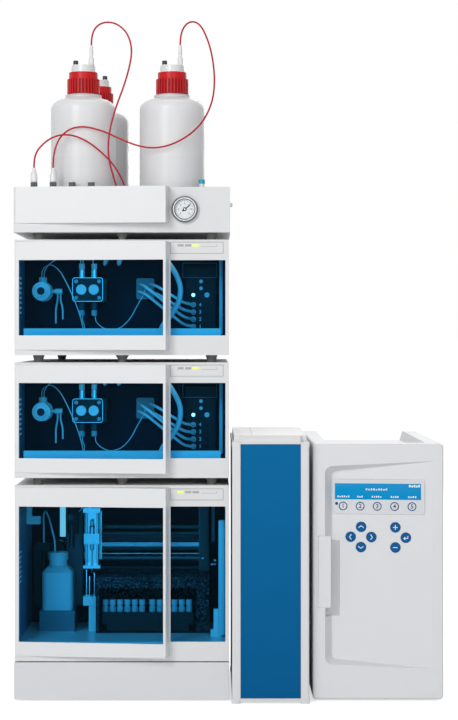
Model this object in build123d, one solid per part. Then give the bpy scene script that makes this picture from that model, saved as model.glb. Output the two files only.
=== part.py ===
from build123d import *
import os
from math import atan2, cos, degrees, pi, radians, sin, tan

os.makedirs("parts", exist_ok=True)

# A bench-top liquid chromatography system: a stack of plinth, autosampler,
# two pumps and a solvent tray with four bottles on the left, a slim
# column-oven tower in the middle and a detector on the right.
# +X is right, the fronts face -Y, +Z is up, millimetres.
# Depths in the table below run back from the plane of the front bezels.

# ---------------------------------------------------------------- overall
stack_w = 361.0           # width of every module of the stack
stack_d = 495.0           # bezel face to rear panel
tower_w = 129.0
tower_d = 330.0
tower_h = 436.0
tower_forward = 24.0      # the tower's face stands this far ahead of the bezels
detector_w = 220.0
detector_d = 440.0
detector_h = 433.0
stack_tower_gap = 5.0
tower_detector_gap = 7.0
tray_overhang = 2.0       # the solvent tray is this much wider each side

# ---------------------------------------------------------------- fits
play = 0.3                # between pieces that must not rub
running_fit = 0.08        # radial, for studs and spindles in their bores
seam = 0.6                # visible seam round a door

# ---------------------------------------------------------------- stack heights
pad_h = 3.0               # rubber pads under plinth and detector
plinth_h = 62.0
base_step = 2.0           # shadow gap between plinth and autosampler
base_inset = 4.0
sampler_h = 296.0
pump_h = 194.5
foot_h = 12.3             # feet between modules
tray_h = 76.5

plinth_z = pad_h
sampler_z = plinth_z + plinth_h + base_step
pump_2_z = sampler_z + sampler_h + foot_h
pump_1_z = pump_2_z + pump_h + foot_h
tray_z = pump_1_z + pump_h + foot_h

# ---------------------------------------------------------------- wedge doors
door_reach = 255.3        # from the stack's left side to the proud edge
door_proud = 28.0         # how far that edge stands out from the bezel
door_foot = 5.2           # slope of the short return face
door_skin = 3.0
door_left_end = 34.0      # stretch of the door that sits inside the bezel
hinge_r = 2.8             # rounded hinge edge
stud_r = 1.5
stud_len = 2.4
door_bottom = 9.0         # above the bezel's lower edge
door_top_gap = 3.4        # below the bezel's upper edge
edge_wall = 1.2           # between the hinge edge and the hollow behind the door
pane_t = 2.0
pane_margin = 5.0

# ---------------------------------------------------------------- bezels
bezel_t = 12.0
stile_w = 6.0             # left upright beside the opening
mullion_x = door_reach - 3.3         # upright between the door opening and fixed pane
fixed_x0 = door_reach + 7.2
fixed_x1 = stack_w - 6.0
rebate = 3.0
pane_set_back = 3.0
pump_window_z = (33.2, 160.0)
sampler_window_z = (32.6, 260.4)
window_x = (7.0, door_reach - 4.5)
opening_margin = 14.0     # compartment mouth above and below the window
status_x = (fixed_x0, stack_w - 8.0)
pump_status_z = (171.0, 190.5)
sampler_status_z = (271.0, 290.0)
groove = 0.8

# ---------------------------------------------------------------- compartments
wall = 6.0
pump_bay_d = 92.0
sampler_bay_d = 230.0
louvre_h = 4.0
louvre_pitch = 8.4
louvre_y = (22.0, 62.0)

# ---------------------------------------------------------------- layout
total_w = (tray_overhang + stack_w + stack_tower_gap + tower_w
           + tower_detector_gap + detector_w)
total_d = door_proud + stack_d
x_stack = -total_w / 2 + tray_overhang
x_tower = x_stack + stack_w + stack_tower_gap
x_detector = x_tower + tower_w + tower_detector_gap
y_face = -total_d / 2 + door_proud


# ---------------------------------------------------------------- helpers
def block(x0, x1, y0, y1, z0, z1):
    return Pos((x0 + x1) / 2, (y0 + y1) / 2, (z0 + z1) / 2) * Box(x1 - x0, y1 - y0, z1 - z0)


def round_z(x, y, z0, z1, r):
    return Pos(x, y, (z0 + z1) / 2) * Cylinder(r, z1 - z0)


def round_y(x, y0, y1, z, r):
    return Pos(x, (y0 + y1) / 2, z) * Rot(90, 0, 0) * Cylinder(r, y1 - y0)


def round_x(x0, x1, y, z, r):
    return Pos((x0 + x1) / 2, y, z) * Rot(0, 90, 0) * Cylinder(r, x1 - x0)


def prism_z(points, z0, z1):
    face = make_face(Polyline(*points, close=True))
    return Pos(0, 0, z0) * extrude(face, z1 - z0, dir=(0, 0, 1))


def turned_z(x, y, z, profile):
    """Revolved piece on a vertical axis: profile is a list of (r, z)."""
    face = make_face(Polyline(*[(r, 0, h) for r, h in profile], close=True))
    return Pos(x, y, z) * revolve(face, Axis.Z)


def turned_y(x, y, z, profile):
    """Revolved piece whose axis runs towards the front: profile is (r, reach)."""
    face = make_face(Polyline(*[(r, 0, h) for r, h in profile], close=True))
    return Pos(x, y, z) * Rot(90, 0, 0) * revolve(face, Axis.Z)


def rounded_box(x0, x1, y0, y1, z0, z1, r):
    """Block whose four edges along Y are rounded."""
    solid = block(x0, x1, y0, y1, z0, z1)
    return fillet(solid.edges().filter_by(Axis.Y), r)


def bend_radii(points):
    """Largest arc that each corner's two runs allow."""
    radii = []
    for before, at, after in zip(points, points[1:], points[2:]):
        first = Vector(*at) - Vector(*before)
        second = Vector(*after) - Vector(*at)
        turn = radians(first.get_angle(second))
        radii.append(0.45 * min(first.length, second.length) / tan(turn / 2))
    return radii


def tube(points, diameter, report=None):
    radii = bend_radii(points)
    path = FilletPolyline(*points, radius=radii)
    section = Plane(origin=path @ 0, z_dir=path % 0) * Circle(diameter / 2)
    solid = sweep(section, path=path)
    if report:
        expected = path.length * pi * diameter ** 2 / 4
        print(report, "length", round(path.length, 1), "tightest bend", round(min(radii), 1),
              "volume ratio", round(solid.volume / expected, 4))
        print("   radii", [round(r, 1) for r in radii])
    return solid


def save(name, shapes):
    solids = []
    for shape in shapes:
        solids.extend(shape.solids())
    export_step(solids[0] if len(solids) == 1 else Compound(children=solids),
                "parts/" + name + ".step")


# ================================================================ modules
# Everything of a module is drawn with x from the stack's left side, y from
# the bezel face (back is positive) and z from the module's own underside.
def place(shape, z):
    return Pos(x_stack, y_face, z) * shape


lean = atan2(door_proud, door_reach - hinge_r)


def front_line(x, inset=0.0):
    """Depth of the leaning front face at x, or of a line inset behind it."""
    return -(x - hinge_r) * tan(lean) + inset / cos(lean)


def wedge_shell(z0, z1):
    """Moulded cover: flush at its left edge, proud at its right, open behind."""
    foot_x = door_reach + door_foot
    outer = [(hinge_r, 0), (door_reach, -door_proud), (foot_x, -seam),
             (door_left_end, -seam), (door_left_end, door_skin + seam),
             (hinge_r, door_skin + seam)]
    inner_x0 = 2 * hinge_r + edge_wall
    inner_x1 = door_reach - door_skin
    inner = [(inner_x0, front_line(inner_x0, door_skin)),
             (inner_x1, front_line(inner_x1, door_skin)),
             (foot_x - door_skin, -seam), (foot_x - door_skin, bezel_t), (inner_x0, bezel_t)]
    shell = prism_z(outer, z0, z1)
    edge = round_z(hinge_r, hinge_r, z0, z1, hinge_r)
    cavity = prism_z(inner, z0 + door_skin, z1 - door_skin)
    body = shell + edge - cavity
    corner = body.edges().filter_by(Axis.Z).sort_by(Axis.Y)[0]
    return fillet(corner, 1.6)


def lean_box(x0, x1, depth0, depth1, z0, z1):
    """Block square to the leaning face; depths run back from that face."""
    run0 = (x0 - hinge_r) / cos(lean)
    run1 = (x1 - hinge_r) / cos(lean)
    flat = block(run0, run1, depth0, depth1, z0, z1)
    return Pos(hinge_r, 0, 0) * Rot(0, 0, -degrees(lean)) * flat


def wedge_door(height, window_z):
    z0 = door_bottom
    z1 = height - door_top_gap
    body = wedge_shell(z0, z1)
    body -= lean_box(window_x[0], window_x[1], -1, door_skin + 1,
                     window_z[0], window_z[1])
    body += round_z(hinge_r, hinge_r, z0 - stud_len, z0, stud_r)
    body += round_z(hinge_r, hinge_r, z1, z1 + stud_len, stud_r)
    pane = lean_box(window_x[0] + 3 * play, window_x[1] + play, door_skin,
                    door_skin + pane_t, window_z[0] - pane_margin, window_z[1] + pane_margin)
    return body, pane


def bezel(height, window_z, status_z):
    plate = block(0, stack_w, 0, bezel_t, 0, height)
    z0 = door_bottom
    z1 = height - door_top_gap
    mouth_z0 = window_z[0] - opening_margin
    mouth_z1 = window_z[1] + opening_margin
    # pocket for the door's hinge edge and the part of it that sits inside
    plate -= block(-1, 2 * hinge_r + seam, -1, 2 * hinge_r + play, z0 - play, z1 + play)
    plate -= block(-1, door_left_end + seam, -1, door_skin + 2 * seam, z0 - play, z1 + play)
    for z_stud in (z0 - stud_len - play, z1):
        plate -= round_z(hinge_r, hinge_r, z_stud, z_stud + stud_len + play,
                         stud_r + running_fit)
    plate -= block(stile_w, mullion_x, -1, bezel_t + 1, mouth_z0, mouth_z1)
    plate -= block(fixed_x0, fixed_x1, -1, bezel_t + 1, window_z[0], window_z[1])
    plate -= block(fixed_x0 - rebate, fixed_x1 + rebate, pane_set_back, bezel_t + 1,
                   window_z[0] - rebate, window_z[1] + rebate)
    # hairline groove round the status plate
    plate -= (block(status_x[0], status_x[1], -1, groove, status_z[0], status_z[1])
              - block(status_x[0] + groove, status_x[1] - groove, -2, groove + 1,
                      status_z[0] + groove, status_z[1] - groove))
    pane = block(fixed_x0 - rebate + play, fixed_x1 + rebate - play, pane_set_back,
                 pane_set_back + pane_t, window_z[0] - rebate + play,
                 window_z[1] + rebate - play)
    return plate, pane


def housing(height, bay_d, window_z, louvre_z):
    body = block(0, stack_w, bezel_t, stack_d, 0, height)
    body = fillet(body.edges().filter_by(Axis.Y).group_by(Axis.Z)[-1], 2.5)
    back = bezel_t + bay_d
    bay = (window_z[0] - opening_margin, window_z[1] + opening_margin)
    body -= block(wall, stack_w - wall, bezel_t - 1, back, bay[0], bay[1])
    count = int((louvre_z[1] - louvre_z[0]) / louvre_pitch)
    for i in range(count):
        z = louvre_z[0] + i * louvre_pitch
        body -= block(-1, wall + 1, louvre_y[0], louvre_y[1], z, z + louvre_h)
    # rear: mains inlet well and cooling slots
    body -= block(inlet_x[0], inlet_x[1], stack_d - inlet_depth, stack_d + 1,
                  inlet_z[0], inlet_z[1])
    for i in range(rear_slots):
        z = rear_slot_z + i * 2 * rear_slot_h
        body -= block(rear_slot_x[0], rear_slot_x[1], stack_d - 4, stack_d + 1,
                      z, z + rear_slot_h)
    return body


inlet_x = (stack_w - 76.0, stack_w - 46.0)
inlet_z = (28.0, 50.0)
inlet_depth = 14.0
rear_slot_x = (60.0, 150.0)
rear_slot_z = 60.0
rear_slot_h = 4.0
rear_slots = 8

pump_louvres = (70.0, 140.0)
sampler_louvres = (126.0, 190.0)

# ---------------------------------------------------------------- plinth
plinth = place(block(-1, stack_w, 0, stack_d, 0, plinth_h), plinth_z)
plinth_round = 2.0
plinth = fillet(plinth.edges().filter_by(Axis.Y).group_by(Axis.Z)[-1], plinth_round)
save("plinth", [plinth])

# ---------------------------------------------------------------- sampler
sampler_body = housing(sampler_h, sampler_bay_d, sampler_window_z, sampler_louvres)
sampler_body += block(base_inset, stack_w - base_inset, bezel_t + base_inset,
                      stack_d - base_inset, -base_step, 0)
save("sampler_housing", [place(sampler_body, sampler_z)])
sampler_door, sampler_door_pane = wedge_door(sampler_h, sampler_window_z)
save("sampler_door", [place(sampler_door, sampler_z)])
save("sampler_door_pane", [place(sampler_door_pane, sampler_z)])
sampler_bezel, sampler_pane = bezel(sampler_h, sampler_window_z, sampler_status_z)

# ---------------------------------------------------------------- pumps
pump_body = housing(pump_h, pump_bay_d, pump_window_z, pump_louvres)
pump_door, pump_door_pane = wedge_door(pump_h, pump_window_z)
pump_bezel, pump_pane = bezel(pump_h, pump_window_z, pump_status_z)
for name, z in (("pump_1", pump_1_z), ("pump_2", pump_2_z)):
    save(name + "_housing", [place(pump_body, z)])
    save(name + "_door", [place(pump_door, z)])
    save(name + "_door_pane", [place(pump_door_pane, z)])
pump_levels = (pump_1_z, pump_2_z)
save("front_bezels", [place(sampler_bezel, sampler_z)]
     + [place(pump_bezel, z) for z in pump_levels])
save("fixed_panes", [place(sampler_pane, sampler_z)]
     + [place(pump_pane, z) for z in pump_levels])

# ---------------------------------------------------------------- pump innards
bay_back = bezel_t + pump_bay_d

# purge valve: a two-step body on the rear wall and a knob on its spindle
purge_x = 40.0
purge_z = 109.0
purge_flange_r = 17.0
purge_flange_t = 7.0
purge_body_r = 13.5
purge_body_reach = 30.0
purge_spindle_r = 4.0
purge_spindle_reach = 44.0
purge_knob_r = 16.0
purge_knob_t = 18.0
purge_hub_r = 7.2
purge_hub_t = 9.0
fitting_r = 5.0
top_nut_r = 7.2
fitting_len = 12.0
side_neck = 9.0
port_y = bay_back - purge_body_reach / 2


def purge_valve():
    body = turned_y(purge_x, bay_back, purge_z,
                    [(0, 0), (purge_flange_r, 0), (purge_flange_r, purge_flange_t - 1.5),
                     (purge_flange_r - 1.5, purge_flange_t), (purge_body_r, purge_flange_t),
                     (purge_body_r, purge_body_reach),
                     (purge_spindle_r, purge_body_reach),
                     (purge_spindle_r, purge_spindle_reach), (0, purge_spindle_reach)])
    top = turned_z(purge_x, port_y, purge_z + purge_body_r - 1,
                   [(0, 0), (3, 0), (3, 2), (top_nut_r, 2), (top_nut_r, fitting_len - 1),
                    (top_nut_r - 1, fitting_len), (0, fitting_len)])
    side = Pos(purge_x + purge_body_r - 1, port_y, purge_z) * Rot(0, 90, 0) * turned_z(
        0, 0, 0, [(0, 0), (3, 0), (3, side_neck), (fitting_r, side_neck),
                  (fitting_r, side_neck + fitting_len), (0, side_neck + fitting_len)])
    return body + top + side


def purge_knob():
    start = purge_body_reach + play
    teeth = 20
    ring = []
    for i in range(teeth):
        for turn, r in ((0.0, purge_knob_r), (0.5, purge_knob_r - 0.7)):
            a = 2 * pi * (i + turn) / teeth
            ring.append((r * cos(a), r * sin(a)))
    rim = extrude(make_face(Polyline(*ring, close=True)), purge_knob_t, dir=(0, 0, 1))
    cone = [(0, purge_knob_t), (purge_knob_r - 1.6, purge_knob_t),
            (purge_hub_r + 2, purge_knob_t + 4), (purge_hub_r, purge_knob_t + 4),
            (purge_hub_r, purge_knob_t + purge_hub_t), (0, purge_knob_t + purge_hub_t)]
    rim += revolve(make_face(Polyline(*[(r, 0, h) for r, h in cone], close=True)), Axis.Z)
    rim -= Pos(0, 0, (purge_spindle_reach - start) / 2) * Cylinder(
        purge_spindle_r + running_fit, purge_spindle_reach - start + 2 * play)
    return Pos(purge_x, bay_back - start, purge_z) * Rot(90, 0, 0) * rim


save("purge_valve_bodies", [place(purge_valve(), z) for z in pump_levels])
save("purge_knob_1", [place(purge_knob(), pump_1_z)])
save("purge_knob_2", [place(purge_knob(), pump_2_z)])

# pump head: rounded block with two piston caps, four corner screws and a
# check valve cartridge above and below each piston
head_x = (93.7, 146.0)
head_body_x = (96.0, 151.5)
head_plate_t = 13.0
head_z = (91.0, 132.0)
head_reach = 56.0
head_round = 5.0
piston_x = (109.0, 130.3)
piston_z = 111.5
piston_r = 8.8
piston_step = 1.6
screw_inset = 6.5
screw_r = 3.2
cartridge_y = bay_back - head_reach + 16
cartridge_r = 5.8
cartridge_h = 14.0
nut_r = 4.9
nut_h = 10.0


def pump_head():
    front = bay_back - head_reach
    body = rounded_box(head_x[0], head_x[1], front, front + head_plate_t, head_z[0], head_z[1],
                       head_round)
    body += block(head_body_x[0], head_body_x[1], front + head_plate_t, bay_back,
                  head_z[0], head_z[1] - 1)
    rim = piston_r - 0.8
    for x in piston_x:
        body += turned_y(x, front, piston_z, [(0, 0), (piston_r, 0), (piston_r, piston_step - 0.8),
                                              (rim, piston_step), (rim - 1.4, piston_step - 0.7),
                                              (0, piston_step - 0.7)])
    for x in (head_x[0] + screw_inset, head_x[1] - screw_inset):
        for z in (head_z[0] + screw_inset, head_z[1] - screw_inset):
            body -= round_y(x, front, front + 1.2, z, screw_r)
    return body


def cartridge(x, z, up):
    profile = [(0, 0), (cartridge_r, 0), (cartridge_r, cartridge_h), (3, cartridge_h),
               (3, cartridge_h + 1), (nut_r, cartridge_h + 1),
               (nut_r, cartridge_h + nut_h), (0, cartridge_h + nut_h)]
    solid = turned_z(0, 0, 0, profile)
    if not up:
        solid = Rot(180, 0, 0) * solid
    return Pos(x, cartridge_y, z) * solid


heads = []
for z in pump_levels:
    heads.append(place(pump_head(), z))
    for x in piston_x:
        heads.append(place(cartridge(x, head_z[1], True), z))
        heads.append(place(cartridge(x, head_z[0], False), z))
save("pump_heads", heads)

# degasser manifold: a small plate with four ports, and the port panel
# with a column of ring fittings
manifold_x = (201.3, 232.0)
manifold_z = (96.0, 132.0)
manifold_t = 10.0
manifold_ports = ((205.5, 121.8), (226.0, 121.8), (205.5, 108.8), (226.0, 108.8))
manifold_middle = (216.5, 115.4)
panel_x = (stack_w - 74.0, stack_w - 23.0)
panel_z = (40.0, 150.0)
panel_t = 18.0
ring_x = panel_x[0] + 13.0
ring_z = (86.0, 73.5, 61.0, 48.5)
ring_r = 4.7
ring_len = 6.0
blind_x = panel_x[1] - 14.5
blind_r = 3.2
blind_depth = 8.0
lamp_x = ring_x
lamp_z = 103.0
hose_d = 5.0


def manifold():
    plate = rounded_box(manifold_x[0], manifold_x[1], bay_back - manifold_t, bay_back,
                        manifold_z[0], manifold_z[1], 3)
    return plate


def port_panel():
    front = bay_back - panel_t
    plate = block(panel_x[0], panel_x[1], front, bay_back, panel_z[0], panel_z[1])
    for z in ring_z:
        plate += round_y(ring_x, front - ring_len, front, z, ring_r)
        plate -= round_y(blind_x, front - 1, front + blind_depth, z, blind_r)
    plate += round_y(lamp_x, front - 2, front, lamp_z, 3.2)
    plate += round_y(blind_x, front - 3, front, lamp_z, 4.4)
    return plate


save("port_manifolds", [place(shape, z) for z in pump_levels for shape in (manifold(), port_panel())])

# four thick suction hoses from the manifold's ports to the ring fittings,
# each at its own depth, and the drain hose that hangs in front of them
manifold_face = bay_back - manifold_t
ring_face = bay_back - panel_t - ring_len
hose_depths = (58.0, 50.0, 42.0, 66.0)
high_left, high_right, low_left, low_right = manifold_ports
hose_ends = ((high_right, ring_z[0]), (low_right, ring_z[1]), (high_left, ring_z[2]),
             (low_left, ring_z[3]))
drain_hose_d = 9.0
leak_floor_t = 4.0
hose_lead = 9.0            # straight run out of each port


def suction_hose(port, end_z, depth):
    y0 = manifold_face
    mid_x = (port[0] + ring_x) / 2
    points = [(port[0], y0, port[1]),
              (port[0], y0 - hose_lead, port[1]),
              (port[0] + 12, depth, port[1] - 4),
              (mid_x, depth - 2, (port[1] + end_z) / 2 - 2),
              (ring_x - 16, depth, end_z + 3),
              (ring_x, ring_face - hose_lead, end_z),
              (ring_x, ring_face, end_z)]
    return tube(points, hose_d)


def drain_hose():
    y = 24.0
    bay_top = pump_window_z[1] + opening_margin
    tray_floor = pump_window_z[0] - opening_margin + leak_floor_t
    x = fixed_x0 - 6.5
    points = [(x, y + 8, bay_top), (x, y + 8, bay_top - 14), (x + 14, y + 3, bay_top - 34),
              (x + 24, y, bay_top - 58), (x + 21, y, bay_top - 84), (x + 7, y + 1, bay_top - 106),
              (x - 6, y + 5, bay_top - 122), (x - 13, y + 10, tray_floor + 14),
              (x - 13, y + 10, tray_floor)]
    return tube(points, drain_hose_d)


hoses = []
for z in pump_levels:
    for (port, end_z), depth in zip(hose_ends, hose_depths):
        hoses.append(place(suction_hose(port, end_z, depth), z))
    hoses.append(place(drain_hose(), z))
save("wash_hoses", hoses)

# thin steel capillaries and the two short drain stubs of the purge valve
capillary_d = 1.6
stub_d = 3.0
side_fitting_x = purge_x + purge_body_r - 1 + side_neck + fitting_len
top_fitting_z = purge_z + purge_body_r - 1 + fitting_len


def capillaries():
    top_nut = head_z[1] + cartridge_h + nut_h
    low_nut = head_z[0] - cartridge_h - nut_h
    left_x, right_x = piston_x
    runs = []
    # purge valve top over to the leak tray, passing left of the head
    runs.append([(purge_x - 2, port_y, top_fitting_z), (purge_x - 2, port_y, top_fitting_z + 9),
                 (purge_x + 3, port_y - 8, 151), (purge_x + 16, port_y - 20, 156),
                 (purge_x + 32, port_y - 30, 144), (purge_x + 45, port_y - 40, 121),
                 (purge_x + 57, port_y - 47, 96), (purge_x + 66, port_y - 49, 72),
                 (purge_x + 72, port_y - 48, 50), (purge_x + 73, port_y - 44, 34)])
    # second line, from the purge valve to the left upper valve nut
    runs.append([(purge_x + 2, port_y, top_fitting_z), (purge_x + 2, port_y, top_fitting_z + 10),
                 (purge_x + 10, port_y - 2, 156), (purge_x + 24, port_y - 4, 165),
                 (purge_x + 42, port_y - 8, 168), (left_x - 12, cartridge_y - 1, 168),
                 (left_x - 2, cartridge_y, 163), (left_x - 2, cartridge_y, top_nut)])
    # bridge between the two upper valve nuts
    runs.append([(left_x + 2, cartridge_y, top_nut), (left_x + 2, cartridge_y, top_nut + 7),
                 (left_x + 8, cartridge_y - 1, 167), (right_x - 8, cartridge_y - 1, 168),
                 (right_x - 2, cartridge_y, top_nut + 7), (right_x - 2, cartridge_y, top_nut)])
    # inlet line from the right lower nut round to the manifold's middle port
    runs.append([(right_x + 2, cartridge_y, low_nut), (right_x + 2, cartridge_y, low_nut - 9),
                 (right_x + 11, cartridge_y - 2, 48), (right_x + 27, cartridge_y - 3, 41),
                 (right_x + 46, cartridge_y - 2, 46), (right_x + 62, cartridge_y + 4, 62),
                 (right_x + 74, cartridge_y + 10, 86),
                 (manifold_middle[0], manifold_face - 14, 107),
                 (manifold_middle[0], manifold_face - 6, manifold_middle[1]),
                 (manifold_middle[0], manifold_face, manifold_middle[1])])
    # drain line straight down from the left lower nut
    runs.append([(left_x + 1, cartridge_y, low_nut), (left_x + 1, cartridge_y, low_nut - 8),
                 (left_x + 5, cartridge_y - 2, 50), (left_x + 3, cartridge_y - 3, 36)])
    shapes = [tube(run, capillary_d) for run in runs]
    # two clear stubs hanging from the side fitting
    under = purge_z - fitting_r
    for x, drift, low in ((side_fitting_x - 8, -3, 54), (side_fitting_x - 3, 4, 61)):
        shapes.append(tube([(x, port_y, under), (x, port_y, under - 10), (x + drift, port_y - 2, 80),
                            (x + drift, port_y - 1, low)], stub_d))
    return shapes


# ---------------------------------------------------------------- sampler innards
# x from the stack's left side, y from the bezel face, z above the autosampler's
# own underside.
bay_floor = sampler_window_z[0] - opening_margin
sampler_back = bezel_t + sampler_bay_d
tray_t = 8.0
tray_top = 25.0            # seat of the cooler, sunk in the tray
floor_top = 30.7           # the tray's floor round it

# insulated sample cooler, open at the front, with a slot for the needle
cooler_x = (130.0, stack_w - 34.0)
cooler_y = (110.0, 220.0)
cooler_top = 128.5
cooler_roof = 19.5
cooler_left_wall = 6.0
cooler_right_wall = 22.0
cooler_base = 6.0
needle_y = 140.0
needle_slot = 14.0
needle_rest_x = 121.5

# vial rack that slides out of the cooler
rack_x = (139.5, cooler_x[1] - 27.0)
rack_y = (124.0, 168.0)
rack_base_h = 13.0
rack_h = 20.0
vial_r = 5.6
cap_r = 5.4
vial_h = 24.0
vial_cap_h = 9.0
vial_pitch = 12.9
vial_gap = 5.0
vials_per_side = 6
last_vial_x = rack_x[1] - 8.0
vial_sink = 12.0

rack_z = tray_top + cooler_base + play
vial_floor = rack_z + rack_base_h + rack_h - vial_sink


def vial_centres():
    centres = []
    for side in range(2):
        start = last_vial_x - side * (vials_per_side * vial_pitch + vial_gap)
        centres += [start - i * vial_pitch for i in range(vials_per_side)]
    return centres


def cooler():
    z0 = tray_top
    body = block(cooler_x[0], cooler_x[1], cooler_y[0], cooler_y[1], z0, cooler_top)
    body -= block(cooler_x[0] + cooler_left_wall, cooler_x[1] - cooler_right_wall,
                  cooler_y[0] - 1, cooler_y[1] - 14, z0 + cooler_base, cooler_top - cooler_roof)
    body -= block(cooler_x[0] - 1, cooler_x[1] - cooler_right_wall,
                  needle_y - needle_slot / 2, needle_y + needle_slot / 2,
                  cooler_top - cooler_roof - 18, cooler_top + 1)
    return body


def rack():
    base = block(rack_x[0] + 8, rack_x[1] - 8, rack_y[0] + 4, rack_y[1], rack_z, rack_z + rack_base_h)
    top = block(rack_x[0], rack_x[1], rack_y[0], rack_y[1], rack_z + rack_base_h,
                rack_z + rack_base_h + rack_h)
    body = base + top
    for x in vial_centres():
        body -= round_z(x, needle_y, vial_floor, rack_z + rack_base_h + rack_h + 1, vial_r + play)
    return body


def vial(x):
    neck = vial_r - 1.6
    return turned_z(x, needle_y, vial_floor,
                    [(0, 0), (vial_r, 0), (vial_r, vial_h - 4), (neck, vial_h - 1), (neck, vial_h),
                     (cap_r, vial_h), (cap_r, vial_h + vial_cap_h), (0, vial_h + vial_cap_h)])


save("sample_cooler", [place(cooler(), sampler_z)])
save("vial_rack", [place(rack(), sampler_z)])
save("vials", [place(vial(x), sampler_z) for x in vial_centres()])

# rails across the rear of the bay, carried by two end plates
rail_y = 192.0
rail_z = (173.0, 180.0)
rod_z = 160.0
rod_r = 2.5
rail_x = (104.0, stack_w - 52.0)
drive_x = (72.0, 104.0)
drive_z = (70.0, 246.0)
end_plate_x = stack_w - 35.0
end_plate_z = (130.0, 250.0)
beam_z = (130.0, 208.0)
beam_front = 216.0
rail_t = 5.0


def rail_drive():
    """Block with the belt drive at the rails' left end, its pulley on the front."""
    front = rail_y - 8
    body = block(drive_x[0], drive_x[1], front, sampler_back, drive_z[0], drive_z[1])
    body = fillet(body.edges().filter_by(Axis.Z).group_by(Axis.Y)[0], 3)
    x = drive_x[0] + 9
    body += turned_y(x, front, drive_z[1] - 20, [(0, 0), (7, 0), (7, 3), (5.5, 4), (5.5, 9), (0, 9)])
    body += round_z(x + 2, front - 5, drive_z[1] - 74, drive_z[1] - 34, 4.5)
    body += block(x - 2, x + 6, front - 5, front, drive_z[1] - 70, drive_z[1] - 64)
    return body


def rail_beam():
    """Dark cover behind the rails: two rounded rolls on a flat back."""
    body = block(rail_x[0], rail_x[1], beam_front, sampler_back, beam_z[0], beam_z[1])
    body += round_x(rail_x[0], rail_x[1], beam_front + 8, beam_z[0] + 19, 17)
    body += round_x(rail_x[0], rail_x[1], beam_front + 6, beam_z[1] - 15, 11)
    return body


def rails():
    plates = [rail_drive(), rail_beam(),
              block(rail_x[1], end_plate_x, rail_y - 8, sampler_back, end_plate_z[0], end_plate_z[1])]
    bars = [block(rail_x[0], rail_x[1], rail_y - rail_t / 2, rail_y + rail_t / 2, rail_z[0], rail_z[1]),
            round_x(rail_x[0], rail_x[1], rail_y, rod_z, rod_r)]
    return plates + bars


save("carriage_rails", [place(shape, sampler_z) for shape in rails()])

# carriage: block on the rails, arm to the front and two guide rods
carriage_w = 30.0
carriage_depth = 22.0
arm_t = 8.0
arm_z = 238.0
guide_r = 1.8
guide_spread = 20.0
guide_foot_z = cooler_top + 12.0
guide_foot_t = 5.0
needle_travel = 36.0
holder_z = guide_foot_z + guide_foot_t + 1.5 + needle_travel
needle_r = 0.9
collet_r = 3.2
needle_tip_z = cooler_top + 4.5


def carriage():
    x0 = needle_rest_x - carriage_w / 2
    x1 = x0 + carriage_w
    body = block(x0, x1, rail_y - carriage_depth / 2, rail_y + carriage_depth / 2, rod_z - 9,
                 rail_z[1] + 7)
    body -= block(x0 - 1, x1 + 1, rail_y - rail_t / 2 - play, rail_y + rail_t / 2 + play,
                  rail_z[0] - play, rail_z[1] + play)
    body -= round_x(x0 - 1, x1 + 1, rail_y, rod_z, rod_r + running_fit)
    body += block(x0, x1, rail_y - carriage_depth / 2, rail_y - carriage_depth / 2 + 6,
                  rail_z[1] + 7, arm_z + arm_t)
    body += block(x0, x1, needle_y - 9, rail_y - carriage_depth / 2, arm_z, arm_z + arm_t)
    body += block(x0 + 5, x1 - 5, needle_y + 10, needle_y + 14, guide_foot_z, arm_z + 1)
    body += block(x0 + 5, x1 - 5, needle_y + 8.5, needle_y + 14, guide_foot_z, guide_foot_z + guide_foot_t)
    body += turned_z(needle_rest_x - 4, needle_y + 2, arm_z + arm_t, [(0, 0), (6, 0), (6, 14), (4.5, 16), (0, 16)])
    foot_top = guide_foot_z + guide_foot_t
    foot = block(x0, x1, needle_y - 9, needle_y + 9, guide_foot_z, foot_top)
    foot -= round_z(needle_rest_x, needle_y, guide_foot_z - 1, foot_top + 1, collet_r + 2 * play)
    for side in (-1, 1):
        x = needle_rest_x + side * guide_spread / 2
        body += round_z(x, needle_y, guide_foot_z + 2, arm_z + 2, guide_r)
    return body + foot


def needle():
    holder = block(needle_rest_x - 13.5, needle_rest_x + 13.5, needle_y - 7, needle_y + 7,
                   holder_z, holder_z + 18)
    for side in (-1, 1):
        holder -= round_z(needle_rest_x + side * guide_spread / 2, needle_y, holder_z - 1,
                          holder_z + 19, guide_r + running_fit)
    holder += turned_z(needle_rest_x, needle_y, holder_z + 18,
                       [(0, 0), (4.4, 0), (4.4, 12), (3, 14), (3, 22), (1.6, 24), (0, 24)])
    shaft = round_z(needle_rest_x, needle_y, needle_tip_z + 4, holder_z + 1, needle_r)
    shaft += turned_z(needle_rest_x, needle_y, holder_z - 12,
                      [(0, 0), (collet_r - 1, 0), (collet_r, 3), (collet_r, 12), (0, 12)])
    tip = Pos(needle_rest_x, needle_y, needle_tip_z + 2) * Cone(0.3, needle_r, 4)
    return holder + shaft + tip


save("needle_carriage", [place(carriage(), sampler_z)])
save("needle", [place(needle(), sampler_z)])

# syringe drive on the rear left
syringe_x = (12.0, 70.0)
syringe_y = (192.0, sampler_back)
syringe_z = (64.0, 181.0)
barrel_r = 5.0


def syringe_unit():
    body = block(syringe_x[0], syringe_x[1], syringe_y[0] + 14, syringe_y[1], syringe_z[0], syringe_z[1])
    body = fillet(body.edges().filter_by(Axis.Y), 12)
    body = fillet(body.edges().group_by(Axis.Y)[0], 3)
    body += block(syringe_x[0] + 8, syringe_x[0] + 32, syringe_y[0], syringe_y[0] + 20,
                  syringe_z[1] - 16, syringe_z[1] - 2)
    body += round_z(syringe_x[0] + 20, syringe_y[0] + 7, syringe_z[0] + 20,
                    syringe_z[1] - 16, barrel_r)
    return body


save("syringe_unit", [place(syringe_unit(), sampler_z)])

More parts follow.
